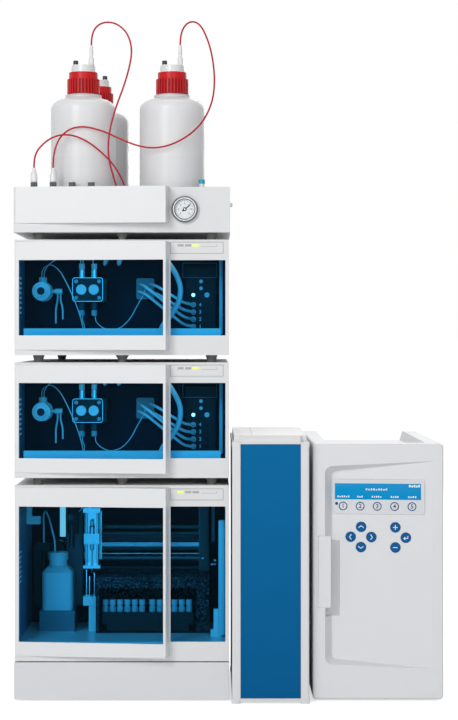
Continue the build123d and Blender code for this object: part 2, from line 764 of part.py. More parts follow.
# wash bottle in its open-topped holder at the front left
holder_x = (31.0, 92.0)
holder_y = (124.0, 185.0)
holder_wall = 2.5
holder_h = 37.0
bottle_base = floor_top + holder_wall
square = 54.0
square_h = 108.0
wash_neck_r = 16.5
wash_neck_h = 26.0


def wash_bottle():
    cx = (holder_x[0] + holder_x[1]) / 2
    cy = (holder_y[0] + holder_y[1]) / 2
    body = Pos(cx, cy, bottle_base + square_h / 2) * Box(square, square, square_h)
    body = fillet(body.edges().filter_by(Axis.Z), 9)
    body = chamfer(body.faces().sort_by(Axis.Z)[-1].edges(), 8)
    neck = turned_z(cx, cy, bottle_base + square_h,
                    [(0, -1), (wash_neck_r + 4, -1), (wash_neck_r, 3), (wash_neck_r - 1, 12),
                     (wash_neck_r + 1, 12), (wash_neck_r + 1, wash_neck_h - 1),
                     (wash_neck_r, wash_neck_h), (0, wash_neck_h)])
    return body + neck


save("wash_bottle", [place(wash_bottle(), sampler_z)])

# leak trays: one moulding per module, the sampler's with bottle holder and
# wash port post
lip_y = (bezel_t, bezel_t + 10.0)
pump_lip_z = 45.0
post_x = (116.5, 129.0)
post_y = (132.0, 148.0)
post_top = 92.0
post_head_x = (107.0, 129.5)
post_head_y = (127.0, 153.0)
post_head_h = 16.0
bracket_x = (stack_w - 31.0, stack_w - 9.0)
bracket_z = 78.0


def pump_leak_tray():
    floor_z = pump_window_z[0] - opening_margin
    tray = block(wall, stack_w - wall, bezel_t, bay_back, floor_z, floor_z + leak_floor_t)
    tray += block(wall + 8, stack_w - wall - 8, lip_y[0], lip_y[1], floor_z, pump_lip_z)
    return tray


def sampler_leak_tray():
    tray = block(wall, stack_w - wall, bezel_t, sampler_back, bay_floor, floor_top)
    tray -= block(cooler_x[0] - play, cooler_x[1] + play, cooler_y[0] - play, cooler_y[1] + play,
                  tray_top, floor_top + 1)
    holder = block(holder_x[0], holder_x[1], holder_y[0], holder_y[1], floor_top, floor_top + holder_h)
    holder -= block(holder_x[0] + holder_wall, holder_x[1] - holder_wall, holder_y[0] + holder_wall,
                    holder_y[1] - holder_wall, floor_top + holder_wall, floor_top + holder_h + 1)
    post = block(post_x[0], post_x[1], post_y[0], post_y[1], floor_top, post_top - 1)
    post += block(post_head_x[0], post_head_x[1], post_head_y[0], post_head_y[1],
                  post_top - post_head_h, post_top)
    post -= round_z(needle_rest_x, needle_y, post_top - 30, post_top + 1, 3)
    side = [(0, 0), (17, 0), (17, bracket_z - floor_top), (7, bracket_z - floor_top), (0, 26)]
    face = make_face(Polyline(*[(bracket_x[1] - x, 70, floor_top + z) for x, z in side], close=True))
    bracket = extrude(face, 12, dir=(0, 1, 0))
    bracket += block(bracket_x[0], bracket_x[1], 70, 82, floor_top, floor_top + 12)
    return tray + holder + post + bracket


def wall_bracket():
    """Angle on the bay's left wall that carries the wash lines."""
    x = wall
    upright = block(x, x + 9, 150, 162, 216, 246)
    return upright + block(x, x + 24, 150, 162, 216, 230)


def light_strip():
    """Upright cover of the bay's lamp on the rear wall."""
    body = block(58, 71, sampler_back - 12, sampler_back, 186, 250)
    return fillet(body.edges().filter_by(Axis.Z).group_by(Axis.Y)[0], 4)


save("leak_trays", [place(shape, sampler_z) for shape in (sampler_leak_tray(), wall_bracket(), light_strip())]
     + [place(pump_leak_tray(), z) for z in pump_levels])

# wash line from the bottle's neck to the syringe, and the needle's line
bottle_top = bottle_base + square_h + wash_neck_h
bottle_cx = (holder_x[0] + holder_x[1]) / 2
bottle_cy = (holder_y[0] + holder_y[1]) / 2
syringe_cx = syringe_x[0] + 20


def sampler_lines():
    head_y = syringe_y[0] + 7
    wash = [(bottle_cx - 6, bottle_cy, bottle_top), (bottle_cx - 6, bottle_cy, bottle_top + 18),
            (bottle_cx - 12, bottle_cy, bottle_top + 42), (bottle_cx - 18, bottle_cy + 8, bottle_top + 62),
            (syringe_cx + 4, bottle_cy + 20, bottle_top + 72), (syringe_cx, head_y - 12, bottle_top + 60),
            (syringe_cx, head_y, syringe_z[1] + 22), (syringe_cx, head_y, syringe_z[1] - 2)]
    front = rail_y - 8
    loop = [(drive_x[1] - 8, front, 236), (drive_x[1] - 8, front - 12, 236), (112, front - 26, 252),
            (140, front - 24, 264), (185, front - 16, 263), (214, front + 4, 252),
            (218, sampler_back - 12, 246), (218, sampler_back, 246)]
    return [tube(wash, 3.0), tube(loop, 2.4)]


lines = [place(shape, z) for z in pump_levels for shape in capillaries()]
lines += [place(shape, sampler_z) for shape in sampler_lines()]
save("capillaries", lines)

# ================================================================ solvent tray
tray_x = (-tray_overhang, stack_w + tray_overhang)
tray_wall = 4.0
tray_ledge = 27.0          # solid front rail that carries the hose connectors
tray_floor_t = 11.0
tray_front_bottom = 15.0   # the wedge cover starts this far up


def solvent_tray():
    body = block(tray_x[0], tray_x[1], 0, stack_d, 0, tray_h)
    body = fillet(body.edges().filter_by(Axis.Y).group_by(Axis.Z)[-1], 2)
    body -= block(tray_x[0] + tray_wall, tray_x[1] - tray_wall, tray_ledge, stack_d - tray_wall,
                  tray_floor_t, tray_h + 1)
    # shallow seat for the wedge cover
    body -= block(tray_x[0] - 1, door_left_end + seam, -1, door_skin + seam,
                  tray_front_bottom, tray_h + 1)
    body -= round_y(gauge_x, -1, gauge_sink, gauge_z, gauge_r - 3)
    return body


# pressure gauge in the right part of the front
gauge_x = (door_reach + stack_w) / 2 - 21.65
gauge_z = 38.5
gauge_r = 20.0
gauge_sink = 10.0
gauge_proud = 9.0
dial_r = 16.5
dial_depth = 4.0
spindle_r = 1.2
dial_y = -gauge_proud + dial_depth
needle_len = 12.5
gauge_rest_deg = 52.0      # rest position of the needle, from straight up to the right


def gauge_body():
    body = turned_y(gauge_x, gauge_sink, gauge_z,
                    [(0, 0), (gauge_r - 3 - play, 0), (gauge_r - 3 - play, gauge_sink),
                     (gauge_r, gauge_sink), (gauge_r, gauge_sink + gauge_proud - 3),
                     (gauge_r - 2.5, gauge_sink + gauge_proud), (dial_r, gauge_sink + gauge_proud),
                     (dial_r, gauge_sink - dial_y), (spindle_r, gauge_sink - dial_y),
                     (spindle_r, gauge_sink - dial_y + 1.8), (0, gauge_sink - dial_y + 1.8)])
    return body


def gauge_hand():
    hub = round_y(0, -1.2, -0.4, 0, 3.0)
    blade = make_face(Polyline((-1.1, 0, -5), (1.1, 0, -5), (0.5, 0, needle_len), (-0.5, 0, needle_len), close=True))
    hand = hub + Pos(0, -0.4, 0) * extrude(blade, 0.8, dir=(0, -1, 0))
    hand -= round_y(0, -3, 1, 0, spindle_r + running_fit)
    return Pos(gauge_x, dial_y, gauge_z) * Rot(0, gauge_rest_deg, 0) * hand


def tray_front():
    z0 = tray_front_bottom + play
    cover = wedge_shell(z0, tray_h)
    return cover - block(-10, 2 * hinge_r + door_skin, door_skin, 40, z0 - 1, tray_h + 1)


save("tray_body", [place(solvent_tray(), tray_z)])
save("tray_front", [place(tray_front(), tray_z)])
save("gauge", [place(gauge_body(), tray_z)])
save("gauge_needle", [place(gauge_hand(), tray_z)])

# four shut-off valves on the front ledge: a turning knurled collar round the
# hose connector's stem
valve_x = tuple(31.4 + i * 32.3 for i in range(4))
valve_y = 15.0
collar_r = 5.8
collar_h = 8.5
stem_r = 2.6
connector_r = 4.6
connector_h = 24.0
connector_tip_r = 2.4


def valve_collar(x):
    teeth = 14
    ring = []
    for i in range(teeth):
        for turn, r in ((0.0, collar_r), (0.5, collar_r - 0.6)):
            a = 2 * pi * (i + turn) / teeth
            ring.append((x + r * cos(a), valve_y + r * sin(a)))
    collar = prism_z(ring, tray_h + play, tray_h + play + collar_h)
    return collar - round_z(x, valve_y, tray_h - 1, tray_h + collar_h + 2, stem_r + running_fit)


def connector(x):
    z0 = tray_h + collar_h + 2 * play
    top = z0 + connector_h
    profile = [(0, tray_h), (stem_r, tray_h), (stem_r, z0), (connector_r, z0),
               (connector_r, z0 + 6), (connector_r - 1, z0 + 8), (connector_tip_r + 0.6, top - 3),
               (connector_tip_r, top), (0, top)]
    return turned_z(x, valve_y, 0, profile)


def plug_stem(x):
    top = tray_h + collar_h + 2 * play
    return turned_z(x, valve_y, 0, [(0, tray_h), (stem_r, tray_h), (stem_r, top),
                                    (collar_r - 1.5, top), (collar_r - 2, top + 1.5), (0, top + 1.5)])


gas_fitting_x = stack_w - 46.0
gas_inlet_z = 47.0
fittings = [connector(x) for x in valve_x[:2]] + [plug_stem(x) for x in valve_x[2:]]
fittings.append(turned_z(gas_fitting_x, valve_y, tray_h,
                         [(0, 0), (4.5, 0), (4.5, 6), (5.4, 6), (5.4, 13), (0, 13)]))
fittings.append(round_x(tray_x[1], tray_x[1] + 4, valve_y, gas_inlet_z, 3.6))
save("hose_connectors", [place(shape, tray_z) for shape in fittings])
for i, x in enumerate(valve_x):
    save("valve_collar_%d" % (i + 1), [place(valve_collar(x), tray_z)])

# ================================================================ bottles
bottle_r = 56.0
bottle_wall_h = 202.2      # base to where the shoulder begins
shoulder_h = 22.0
bottle_neck_ring_r = 31.0
bottle_neck_ring_h = 5.0
bottle_neck_r = 24.0
bottle_neck_h = 37.0
bottle_gap_x = 97.5        # from the stack's right side to the right front bottle's axis
bottles = ((110.3, 86.0), (stack_w - bottle_gap_x, 86.0), (123.5, 286.0),
           (stack_w - bottle_gap_x - 3.5, 286.0))
cap_outer_r = 28.0
cap_ring_h = 25.5
cap_top_r = 24.8
cap_top_h = 11.5
cap_hole_r = 21.9
cap_ribs = 30
insert_r = 21.3
insert_cone_h = 12.5
insert_top_r = 20.3
front_vent = (-13.0, -4.0)
rear_vent = (13.0, -4.0)
vent_r = 4.4
vent_h = 8.5
barb_offset = (14.0, -6.0)
barb_r = 4.6
barb_h = 34.5
barb_tip_r = 2.5

shoulder_z = bottle_wall_h + shoulder_h
neck_top = shoulder_z + bottle_neck_ring_h + bottle_neck_h
cap_z = shoulder_z + bottle_neck_ring_h + 2.0
cap_shelf = neck_top + 3.0
cap_top = cap_z + cap_ring_h + cap_top_h
insert_top = cap_top + insert_cone_h


def solvent_bottle():
    low = 4.0
    with BuildSketch(Plane.XZ) as half:
        with BuildLine():
            Polyline((0, shoulder_z + bottle_neck_ring_h), (0, 0), (bottle_r - low, 0), (bottle_r, low),
                     (bottle_r, bottle_wall_h))
            Spline((bottle_r, bottle_wall_h), (bottle_neck_ring_r, shoulder_z),
                   tangents=((0, 1), (-1, 0.35)))
            Polyline((bottle_neck_ring_r, shoulder_z),
                     (bottle_neck_ring_r, shoulder_z + bottle_neck_ring_h),
                     (0, shoulder_z + bottle_neck_ring_h))
        make_face()
    body = revolve(half.sketch, Axis.Z)
    return body + round_z(0, 0, shoulder_z, neck_top, bottle_neck_r)


def cap_ring():
    ring = []
    for i in range(cap_ribs):
        for turn, r in ((0.0, cap_outer_r), (0.45, cap_outer_r), (0.55, cap_outer_r - 1.1),
                        (0.9, cap_outer_r - 1.1)):
            a = 2 * pi * (i + turn) / cap_ribs
            ring.append((r * cos(a), r * sin(a)))
    body = prism_z(ring, cap_z, cap_z + cap_ring_h)
    body += round_z(0, 0, cap_z + cap_ring_h, cap_top, cap_top_r)
    body -= round_z(0, 0, cap_z - 1, cap_shelf + play, bottle_neck_r + play)
    return body - round_z(0, 0, cap_z - 1, cap_top + 1, cap_hole_r)


def cap_insert(vent_offset):
    cone = turned_z(0, 0, 0, [(0, neck_top), (bottle_neck_r - 0.5, neck_top),
                              (bottle_neck_r - 0.5, cap_shelf), (insert_r, cap_shelf),
                              (insert_r, cap_top), (insert_top_r, insert_top), (0, insert_top)])
    vent = turned_z(vent_offset[0], vent_offset[1], insert_top,
                    [(0, 0), (vent_r, 0), (vent_r, vent_h - 1), (vent_r - 1, vent_h), (0, vent_h)])
    barb = turned_z(barb_offset[0], barb_offset[1], insert_top,
                    [(0, 0), (barb_r, 0), (barb_r, 12), (barb_r - 1.4, 14), (barb_tip_r + 0.8, barb_h - 6),
                     (barb_tip_r, barb_h), (0, barb_h)])
    return [cone, vent, barb]


def on_tray(shape, spot):
    return place(Pos(spot[0], spot[1], tray_floor_t) * shape, tray_z)


save("solvent_bottles", [on_tray(solvent_bottle(), spot) for spot in bottles])
inserts = []
for i, spot in enumerate(bottles):
    save("cap_ring_%d" % (i + 1), [on_tray(cap_ring(), spot)])
    pieces = cap_insert(front_vent) if i < 2 else cap_insert(rear_vent)[:2]
    inserts += [on_tray(piece, spot) for piece in pieces]
save("cap_inserts", inserts)

# ================================================================ feet
foot_top_r = 10.0
foot_base_r = 6.8
foot_spots = ((38.5, 24.0), (stack_w - 29.5, 24.0), (45.5, stack_d - 55.0),
              (stack_w - 29.5, stack_d - 55.0))
centre_foot = (stack_w / 2, 18.0)
pad_size = 18.0
detector_pad_inset = 24.0

feet = []
for z in (pump_2_z, pump_1_z, tray_z):
    for spot in foot_spots:
        feet.append(place(Pos(spot[0], spot[1], -foot_h / 2) * Cone(foot_base_r, foot_top_r, foot_h), z))
    feet.append(place(turned_z(centre_foot[0], centre_foot[1], -foot_h,
                               [(0, 0), (6.5, 0), (6.5, 4), (11.5, foot_h), (0, foot_h)]), z))


def pad(x, y):
    half = pad_size / 2
    return block(x - half, x + half, y - half, y + half, 0, pad_h)


for x in (30.0, stack_w - 30.0):
    for y in (30.0, stack_d - 30.0):
        feet.append(Pos(x_stack, y_face, 0) * pad(x, y))
for x in (detector_pad_inset, detector_w - detector_pad_inset):
    for y in (40.0, detector_d - 30.0):
        feet.append(Pos(x_detector, y_face, 0) * pad(x, y))
save("module_feet", feet)

# ================================================================ tower
# x from the tower's left side, y from its own face, z from the bench
post_w = 14.0
post_depth = 14.0
corner_cap = 7.5
corner_proud = 0.8
panel_inset = 1.6
front_panel_t = 3.0
rail_h = 2.4
low_rail_h = 1.0
lid_h = 11.5
lid_bevel = 9.0
lid_inset = 3.0
lid_seam_x = 34.0


def tower_place(shape):
    return Pos(x_tower, y_face - tower_forward, 0) * shape


def tower_enclosure():
    body = block(0, tower_w, 0, tower_d, corner_cap / 2, tower_h)
    body = fillet(body.edges().filter_by(Axis.Z), 3)
    # side panels sit back from the corner posts
    for x0, x1 in ((-1, 1.2), (tower_w - 1.2, tower_w + 1)):
        body -= block(x0, x1, post_depth, tower_d - post_depth, post_w, tower_h - post_w)
    body -= block(post_w, tower_w - post_w, -1, panel_inset + front_panel_t,
                  corner_cap + low_rail_h, tower_h - rail_h)
    for x0 in (-corner_proud, tower_w - post_w):
        x1 = x0 + post_w + corner_proud
        for y0 in (-corner_proud, tower_d - post_w):
            y1 = y0 + post_w + corner_proud
            for z0 in (0, tower_h - corner_cap + corner_proud):
                cap = block(x0, x1, y0, y1, z0, z0 + corner_cap)
                body += fillet(cap.edges().filter_by(Axis.Z), 3)
    for i in range(14):
        z = 60 + i * 12
        body -= block(30, tower_w - 30, tower_d - 3, tower_d + 1, z, z + 4)
    return body


def tower_front():
    panel = block(post_w + play, tower_w - post_w - play, panel_inset, panel_inset + front_panel_t,
                  corner_cap + low_rail_h + play, tower_h - rail_h - play)
    return panel


def tower_lid():
    z0 = tower_h
    side = [(corner_cap, z0), (tower_d - corner_cap, z0), (tower_d - corner_cap, z0 + lid_h - 2),
            (tower_d - corner_cap - 2, z0 + lid_h), (corner_cap + lid_bevel, z0 + lid_h),
            (corner_cap, z0 + lid_h * 0.45)]
    face = make_face(Polyline(*[(0, y, z) for y, z in side], close=True))
    lid = Pos(post_w + play, 0, 0) * extrude(face, tower_w - 2 * post_w - 2 * play, dir=(1, 0, 0))
    wing = block(lid_inset, tower_w - lid_inset, corner_cap + post_w, tower_d - corner_cap - post_w,
                 z0, z0 + lid_h)
    lid += fillet(wing.edges().filter_by(Axis.Z), 2)
    lid -= block(lid_seam_x - 0.6, lid_seam_x + 0.6, 20, tower_d - 40, z0 + lid_h - 1, z0 + lid_h + 1)
    return lid


save("tower_enclosure", [tower_place(tower_enclosure()), tower_place(tower_lid())])
save("tower_front_panel", [tower_place(tower_front())])

# ================================================================ detector
# x from the detector's left side, y from its door's front, z from the bench
door_t = 34.0
door_gap = 1.0
axle_inset = 8.0
swing_relief = (9.0, 4.5)
axle_r = 2.5
ear_r = 6.0
ear_h = 7.0
ear_z = (pad_h + 16.0, detector_h - 24.0)
ear_slot_r = 12.5
deck_depth = 17.0          # the deck lies this far below the two side rims
rim_w = 27.0
rim_slope = 6.0
oven_x = (18.0, 200.0)
oven_z = (40.0, 300.0)
oven_d = 170.0
recess_left = 20.4
recess_right = 202.5
panel_left = 33.0
recess_low_left = 62.3
recess_low_right = 53.3
recess_top_left = 394.8
recess_top_right = 403.8
panel_deep = 22.0
panel_shallow = 1.0
panel_drop = 10.0          # panel edge below the recess's upper edge at its left
panel_rise = 6.0           # and above its lower edge
recess_round = 12.0
door_back = door_t + door_gap
tilt = atan2(panel_deep - panel_shallow, recess_right - 1.0 - panel_left)


def det_place(shape):
    return Pos(x_detector, y_face, 0) * shape


def detector_housing():
    body = block(0, detector_w, door_back, detector_d, pad_h, detector_h)
    body = fillet(body.edges().filter_by(Axis.Y), 5)
    floor_z = detector_h - deck_depth
    deck = [(rim_w + rim_slope, floor_z), (detector_w - rim_w - rim_slope, floor_z),
            (detector_w - rim_w, detector_h + 1), (rim_w, detector_h + 1)]
    face = make_face(Polyline(*[(x, door_back - 1, z) for x, z in deck], close=True))
    body -= extrude(face, detector_d, dir=(0, 1, 0))
    body -= block(oven_x[0], oven_x[1], door_back - 1, door_back + oven_d, oven_z[0], oven_z[1])
    # relief for the door's edge when the door is wide open
    body -= prism_z([(detector_w - swing_relief[0], door_back - 1), (detector_w + 1, door_back - 1),
                     (detector_w + 1, door_back + swing_relief[1]),
                     (detector_w - swing_relief[0], door_back)], 0, detector_h + 1)
    ear_x = detector_w - axle_inset
    for z in ear_z:
        arm = block(ear_x - 4, ear_x + 4, door_t - axle_inset, door_back + 1, z, z + ear_h)
        ear = round_z(ear_x, door_t - axle_inset, z, z + ear_h, ear_r)
        axle = round_z(ear_x, door_t - axle_inset, z - 8, z + ear_h + 8, axle_r)
        body += arm + ear + axle
    body -= block(40, 70, detector_d - 14, detector_d + 1, 40, 62)
    for i in range(10):
        z = 110 + i * 9
        body -= block(60, 160, detector_d - 4, detector_d + 1, z, z + 4)
    return body


def panel_depth(x):
    return panel_shallow + (recess_right - 1.0 - x) * tan(tilt)


def tilted(shape):
    """Move a piece drawn on a plane facing -Y, whose x is measured along the
    panel from panel_left, onto the tilted panel."""
    return Pos(panel_left, panel_depth(panel_left), 0) * Rot(0, 0, -degrees(tilt)) * shape


def detector_door():
    slab = block(0, detector_w, 0, door_t, pad_h, detector_h)
    slab = fillet(slab.edges().filter_by(Axis.Y), 6)
    slab = fillet(slab.faces().sort_by(Axis.Y)[0].edges(), 3)
    slab -= recess()
    # finger pocket behind the handle plate
    slab -= block(handle_x[0] + 6, pocket_right, handle_sink, panel_deep + pocket_extra,
                  pocket_z[0], pocket_z[1])
    slab -= block(handle_x[0], handle_x[1], -1, handle_sink, handle_z[0], handle_z[1])
    # key wells and display seat, square to the tilted panel
    for x, z in keys:
        slab -= tilted(round_y(along(x), -3, key_well, z, key_r + key_clear))
    slab -= tilted(block(along(display_x[0]), along(display_x[1]), -4, display_seat,
                         display_z[0], display_z[1]))
    # slots for the hinge ears, bores for their axles, rounded hinge corner
    axle_x = detector_w - axle_inset
    axle_y = door_t - axle_inset
    corner = (block(axle_x, detector_w + 1, axle_y, door_t + 1, pad_h - 1, detector_h + 1)
              - round_z(axle_x, axle_y, pad_h - 2, detector_h + 2, axle_inset))
    slab -= corner
    for z in ear_z:
        slab -= round_z(axle_x, axle_y, z - play, z + ear_h + play, ear_slot_r)
        slab -= round_z(axle_x, axle_y, z - 9, z + ear_h + 9, axle_r + running_fit)
    return slab


def recess():
    """Hollow between the outline on the front and the tilted panel behind it."""
    right = recess_right - 1.0
    slant = Plane(origin=(panel_left, panel_depth(panel_left), 0),
                  x_dir=(cos(tilt), -sin(tilt), 0), z_dir=(-sin(tilt), -cos(tilt), 0))
    mouth = Polyline((recess_left, recess_low_left), (recess_right, recess_low_right),
                     (recess_right, recess_top_right), (recess_left, recess_top_left), close=True)
    floor = Polyline((0, recess_low_left + panel_rise), (along(right), recess_low_right + 1),
                     (along(right), recess_top_right - 1), (0, recess_top_left - panel_drop),
                     close=True)
    ends = []
    for plane, outline, soft in ((Plane.XZ, mouth, recess_round), (slant, floor, recess_round - 3)):
        face = make_face(outline)
        face = fillet(face.vertices().group_by(Axis.X)[-1], 3)
        face = fillet(face.vertices().group_by(Axis.X)[0], soft)
        ends.append(plane * face)
    return loft(ends, ruled=True)


def along(x):
    """Distance along the tilted panel of a point at x."""
    return (x - panel_left) / cos(tilt)


handle_x = (9.4, 30.6)
handle_z = (157.0, 278.0)
handle_sink = 3.0
handle_t = 3.4
pocket_right = 46.5
pocket_z = (141.0, 268.0)
pocket_extra = 5.0
display_x = (34.5, 188.7)
display_z = (313.5, 372.0)
display_seat = 0.6
display_t = 2.4
key_r = 8.7
key_clear = 0.25
key_len = 4.6
key_proud = 1.4
key_travel = 1.0
key_well = key_len - key_proud + key_travel + 0.8
keys = ((82.5, 291.6), (65.0, 274.6), (99.6, 274.5), (82.2, 257.4),
        (139.8, 291.4), (157.2, 274.2), (139.8, 257.4))
key_names = ("key_up", "key_left", "key_right", "key_down", "key_plus", "key_enter", "key_minus")


def handle_plate():
    return rounded_box(handle_x[0] + play, handle_x[1] - play, handle_sink - handle_t, handle_sink,
                       handle_z[0] + play, handle_z[1] - play, 2.5)


def display():
    plate = block(along(display_x[0]) + play, along(display_x[1]) - play, display_seat - display_t,
                  display_seat, display_z[0] + play, display_z[1] - play)
    plate = fillet(plate.edges().filter_by(Axis.Y), 5)
    return tilted(plate)


def key(x, z):
    cap = round_y(along(x), -key_proud, key_len - key_proud, z, key_r)
    rim = cap.faces().sort_by(Axis.Y)[0].edges()
    return tilted(chamfer(rim, 0.6))


save("detector_housing", [det_place(detector_housing())])
save("detector_door", [det_place(detector_door())])
save("detector_handle", [det_place(handle_plate())])
save("detector_display", [det_place(display())])
for name, (x, z) in zip(key_names, keys):
    save(name, [det_place(key(x, z))])


# flow cell and separation column clipped in the detector's oven
def oven_fittings():
    back = door_back + oven_d
    clips = block(60, 66, back - 30, back, 90, 102) + block(60, 66, back - 30, back, 200, 212)
    column = turned_z(63, back - 36, 80, [(0, 0), (5, 0), (5, 10), (8, 12), (8, 26), (6, 28), (6, 112),
                                          (8, 114), (8, 128), (5, 130), (5, 140), (0, 140)])
    cell = turned_y(140, back, 150, [(0, 0), (20, 0), (20, 16), (26, 18), (26, 34), (14, 40), (14, 46), (0, 46)])
    return [clips + column, cell]


save("column_and_cell", [det_place(shape) for shape in oven_fittings()])


# ================================================================ solvent tubes
# Two free tubes. x from the stack's left side, y from the bezel face and z
# above the bench; each starts on a bottle's barb and ends on a connector.
solvent_tube_d = 3.0
barb_top = tray_z + tray_floor_t + insert_top + barb_h
connector_top = tray_z + tray_h + collar_h + 2 * play + connector_h


def barb_spot(bottle):
    return bottle[0] + barb_offset[0], bottle[1] + barb_offset[1]


def solvent_tube_1():
    x, y = barb_spot(bottles[0])
    return [(x, y, barb_top), (x, y, barb_top + 12), (129, 79, 1143), (139, 76, 1152), (154, 73, 1155),
            (170, 69, 1150), (184, 65, 1138), (193, 61, 1119), (195, 57, 1096), (190, 53, 1070),
            (182, 50, 1042), (172, 46, 1015), (163, 43, 987), (157, 41, 959), (155, 40, 932),
            (158, 41, 907), (165, 44, 884), (171, 48, 862), (175, 56, 841), (177, 70, 823),
            (177, 88, 811), (176, 108, 805), (173, 128, 802.5), (175, 149, 802), (185, 166, 802),
            (203, 170, 802.5), (217, 158, 802), (219, 139, 802), (212, 120, 803), (204, 102, 807),
            (198, 84, 814), (194, 68, 826), (190, 54, 842), (186, 43, 860), (181, 33, 877),
            (173, 24, 893), (160, 19, 911), (142, 16, 928), (124, 14, 942), (103, 12, 952),
            (83, 11, 955), (65, 11, 951), (49, 12, 941), (36, 14, 927),
            (valve_x[0], valve_y, connector_top + 13), (valve_x[0], valve_y, connector_top)]


def solvent_tube_2():
    x, y = barb_spot(bottles[1])
    return [(x, y, barb_top), (x, y, barb_top + 12), (281, 79, 1142), (289, 76, 1153), (301, 73, 1156),
            (313, 69, 1148), (322, 64, 1130), (330, 58, 1106), (335, 52, 1078), (337, 46, 1048),
            (334, 39, 1017), (323, 31, 988), (306, 25, 965), (284, 21, 948), (258, 19, 936),
            (232, 19, 932), (207, 20, 936), (181, 22, 946), (157, 24, 958), (134, 24, 966),
            (111, 24, 970), (90, 23, 965), (74, 20, 950), (67, 17, 932),
            (valve_x[1], valve_y, connector_top + 15), (valve_x[1], valve_y, connector_top)]


for name, route in (("solvent_tube_1", solvent_tube_1()), ("solvent_tube_2", solvent_tube_2())):
    save(name, [place(tube(route, solvent_tube_d, name), 0)])
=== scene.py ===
from math import atan2, cos, hypot, radians, sin

import bpy
from mathutils import Matrix, Vector


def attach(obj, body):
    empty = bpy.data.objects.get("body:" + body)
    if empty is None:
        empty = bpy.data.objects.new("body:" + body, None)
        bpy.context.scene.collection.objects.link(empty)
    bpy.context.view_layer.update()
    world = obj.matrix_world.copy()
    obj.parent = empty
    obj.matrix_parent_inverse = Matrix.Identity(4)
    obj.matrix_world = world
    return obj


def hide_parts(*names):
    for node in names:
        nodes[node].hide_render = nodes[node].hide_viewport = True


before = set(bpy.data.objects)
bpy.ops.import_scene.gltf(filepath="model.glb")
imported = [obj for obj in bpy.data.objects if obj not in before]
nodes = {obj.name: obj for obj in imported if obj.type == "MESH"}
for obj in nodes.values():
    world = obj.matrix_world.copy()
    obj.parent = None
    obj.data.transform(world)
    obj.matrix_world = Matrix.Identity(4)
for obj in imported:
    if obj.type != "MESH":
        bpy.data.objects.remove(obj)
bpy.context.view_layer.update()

# Sizes and places are millimetres in the frame, as in the solids; mm turns
# them into the scene's metres.
mm = 0.001

# Places of the units: x of each unit's left side, y of the bezels' faces and
# of the tower's own face, and the height of each unit's underside.
stack_x = -360.0
tower_x = 6.0
detector_x = 142.0
face_y = -233.5
tower_front = face_y - 24.0
sampler_z = 67.0
pump_z = (582.1, 375.3)
tray_z = 788.9
tower_h = 436.0
stack_w = 361.0

# Modules: walls and bays behind the doors, measured from the unit's own side,
# bezel face and underside.
wall = 6.0
bezel_t = 12.0
sampler_depth = 230.0
pump_depth = 92.0
sampler_bay = (18.6, 274.4)
pump_bay = (19.2, 174.0)
bay_back = bezel_t + pump_depth
status_level = {"sampler": 284.6, "pump_1": 184.7, "pump_2": 184.7}

# Pump innards
head_x = (93.7, 146.0)
head_z = (91.0, 132.0)
head_reach = 56.0
screw_inset = 6.5
screw_r = 3.2
valve_h = 14.3
panel_x = (287.0, 338.0)
panel_t = 18.0
ring_x = 300.0
ring_z = (86.0, 73.5, 61.0, 48.5)
ring_r = 4.7
ring_len = 6.0
blind_x = 323.5
lamp_z = 103.0

# Sampler innards
rail_end = 309.0
vial_cap_z = sampler_z + 76.3
port_head_z = 91.8
wash_tubes = ((112.5, 133.0, 138.5), (126.5, 131.0, 133.0), (118.0, 130.0, 127.0))

# Tray, gauge and bottles
tray_h = 76.5
tray_floor = 11.0
collar_h = 8.5
gas_x = 315.0
gauge_at = (stack_x + 286.5, tray_z + 38.5)
dial_r = 16.5
dial_y = face_y - 5.0
bottles = ((110.3, 86.0), (263.5, 86.0), (123.5, 286.0), (260.0, 286.0))
front_vent = (-13.0, -4.0)
rear_vent = (13.0, -4.0)
vent_r = 4.4
cap_low = 231.2
insert_top_z = tray_z + tray_floor + 280.7
tube_d = 3.0

# Detector front: the panel in the recess leans back to the left
panel_left = 33.0
tilt = atan2(21.0, 168.5)
panel_frame = (Matrix.Translation(((detector_x + panel_left) * mm, (face_y + 22.0) * mm, 0))
               @ Matrix.Rotation(-tilt, 4, "Z"))
display_x = (34.5, 188.7)
display_z = (313.5, 372.0)
display_proud = 1.8
key_proud = 1.4
keys = {"key_up": (82.5, 291.6), "key_left": (65.0, 274.6), "key_right": (99.6, 274.5),
        "key_down": (82.2, 257.4), "key_plus": (139.8, 291.4), "key_enter": (157.2, 274.2),
        "key_minus": (139.8, 257.4)}

house_color = (0.765, 0.77, 0.775)

# Brightness of the lamp strips under the bays' roofs and on the sampler's wall
roof_strip_level = 2.5
wall_strip_level = 0.7


# ---------------------------------------------------------------- shader kit
class Wire:
    """A shader value. Sums and products of wires add their Math nodes."""

    def __init__(self, finish, socket):
        self.finish = finish
        self.socket = socket

    def math(self, operation, *others):
        values = {0: self}
        for place, other in enumerate(others, 1):
            values[place] = other
        return self.finish.node("ShaderNodeMath", {"operation": operation}, values)

    def __add__(self, other):
        return self.math("ADD", other)

    def __mul__(self, other):
        return self.math("MULTIPLY", other)

    def __sub__(self, other):
        return self.math("SUBTRACT", other)

    def __neg__(self):
        return self * -1.0

    def __truediv__(self, other):
        return self.math("DIVIDE", other)

    def __rsub__(self, other):
        return (-self).math("ADD", other)

    __radd__ = __add__
    __rmul__ = __mul__

    def above(self, edge):
        return self.math("GREATER_THAN", edge)

    def below(self, edge):
        return self.math("LESS_THAN", edge)

    def between(self, low, high):
        return self.above(low) * self.below(high)


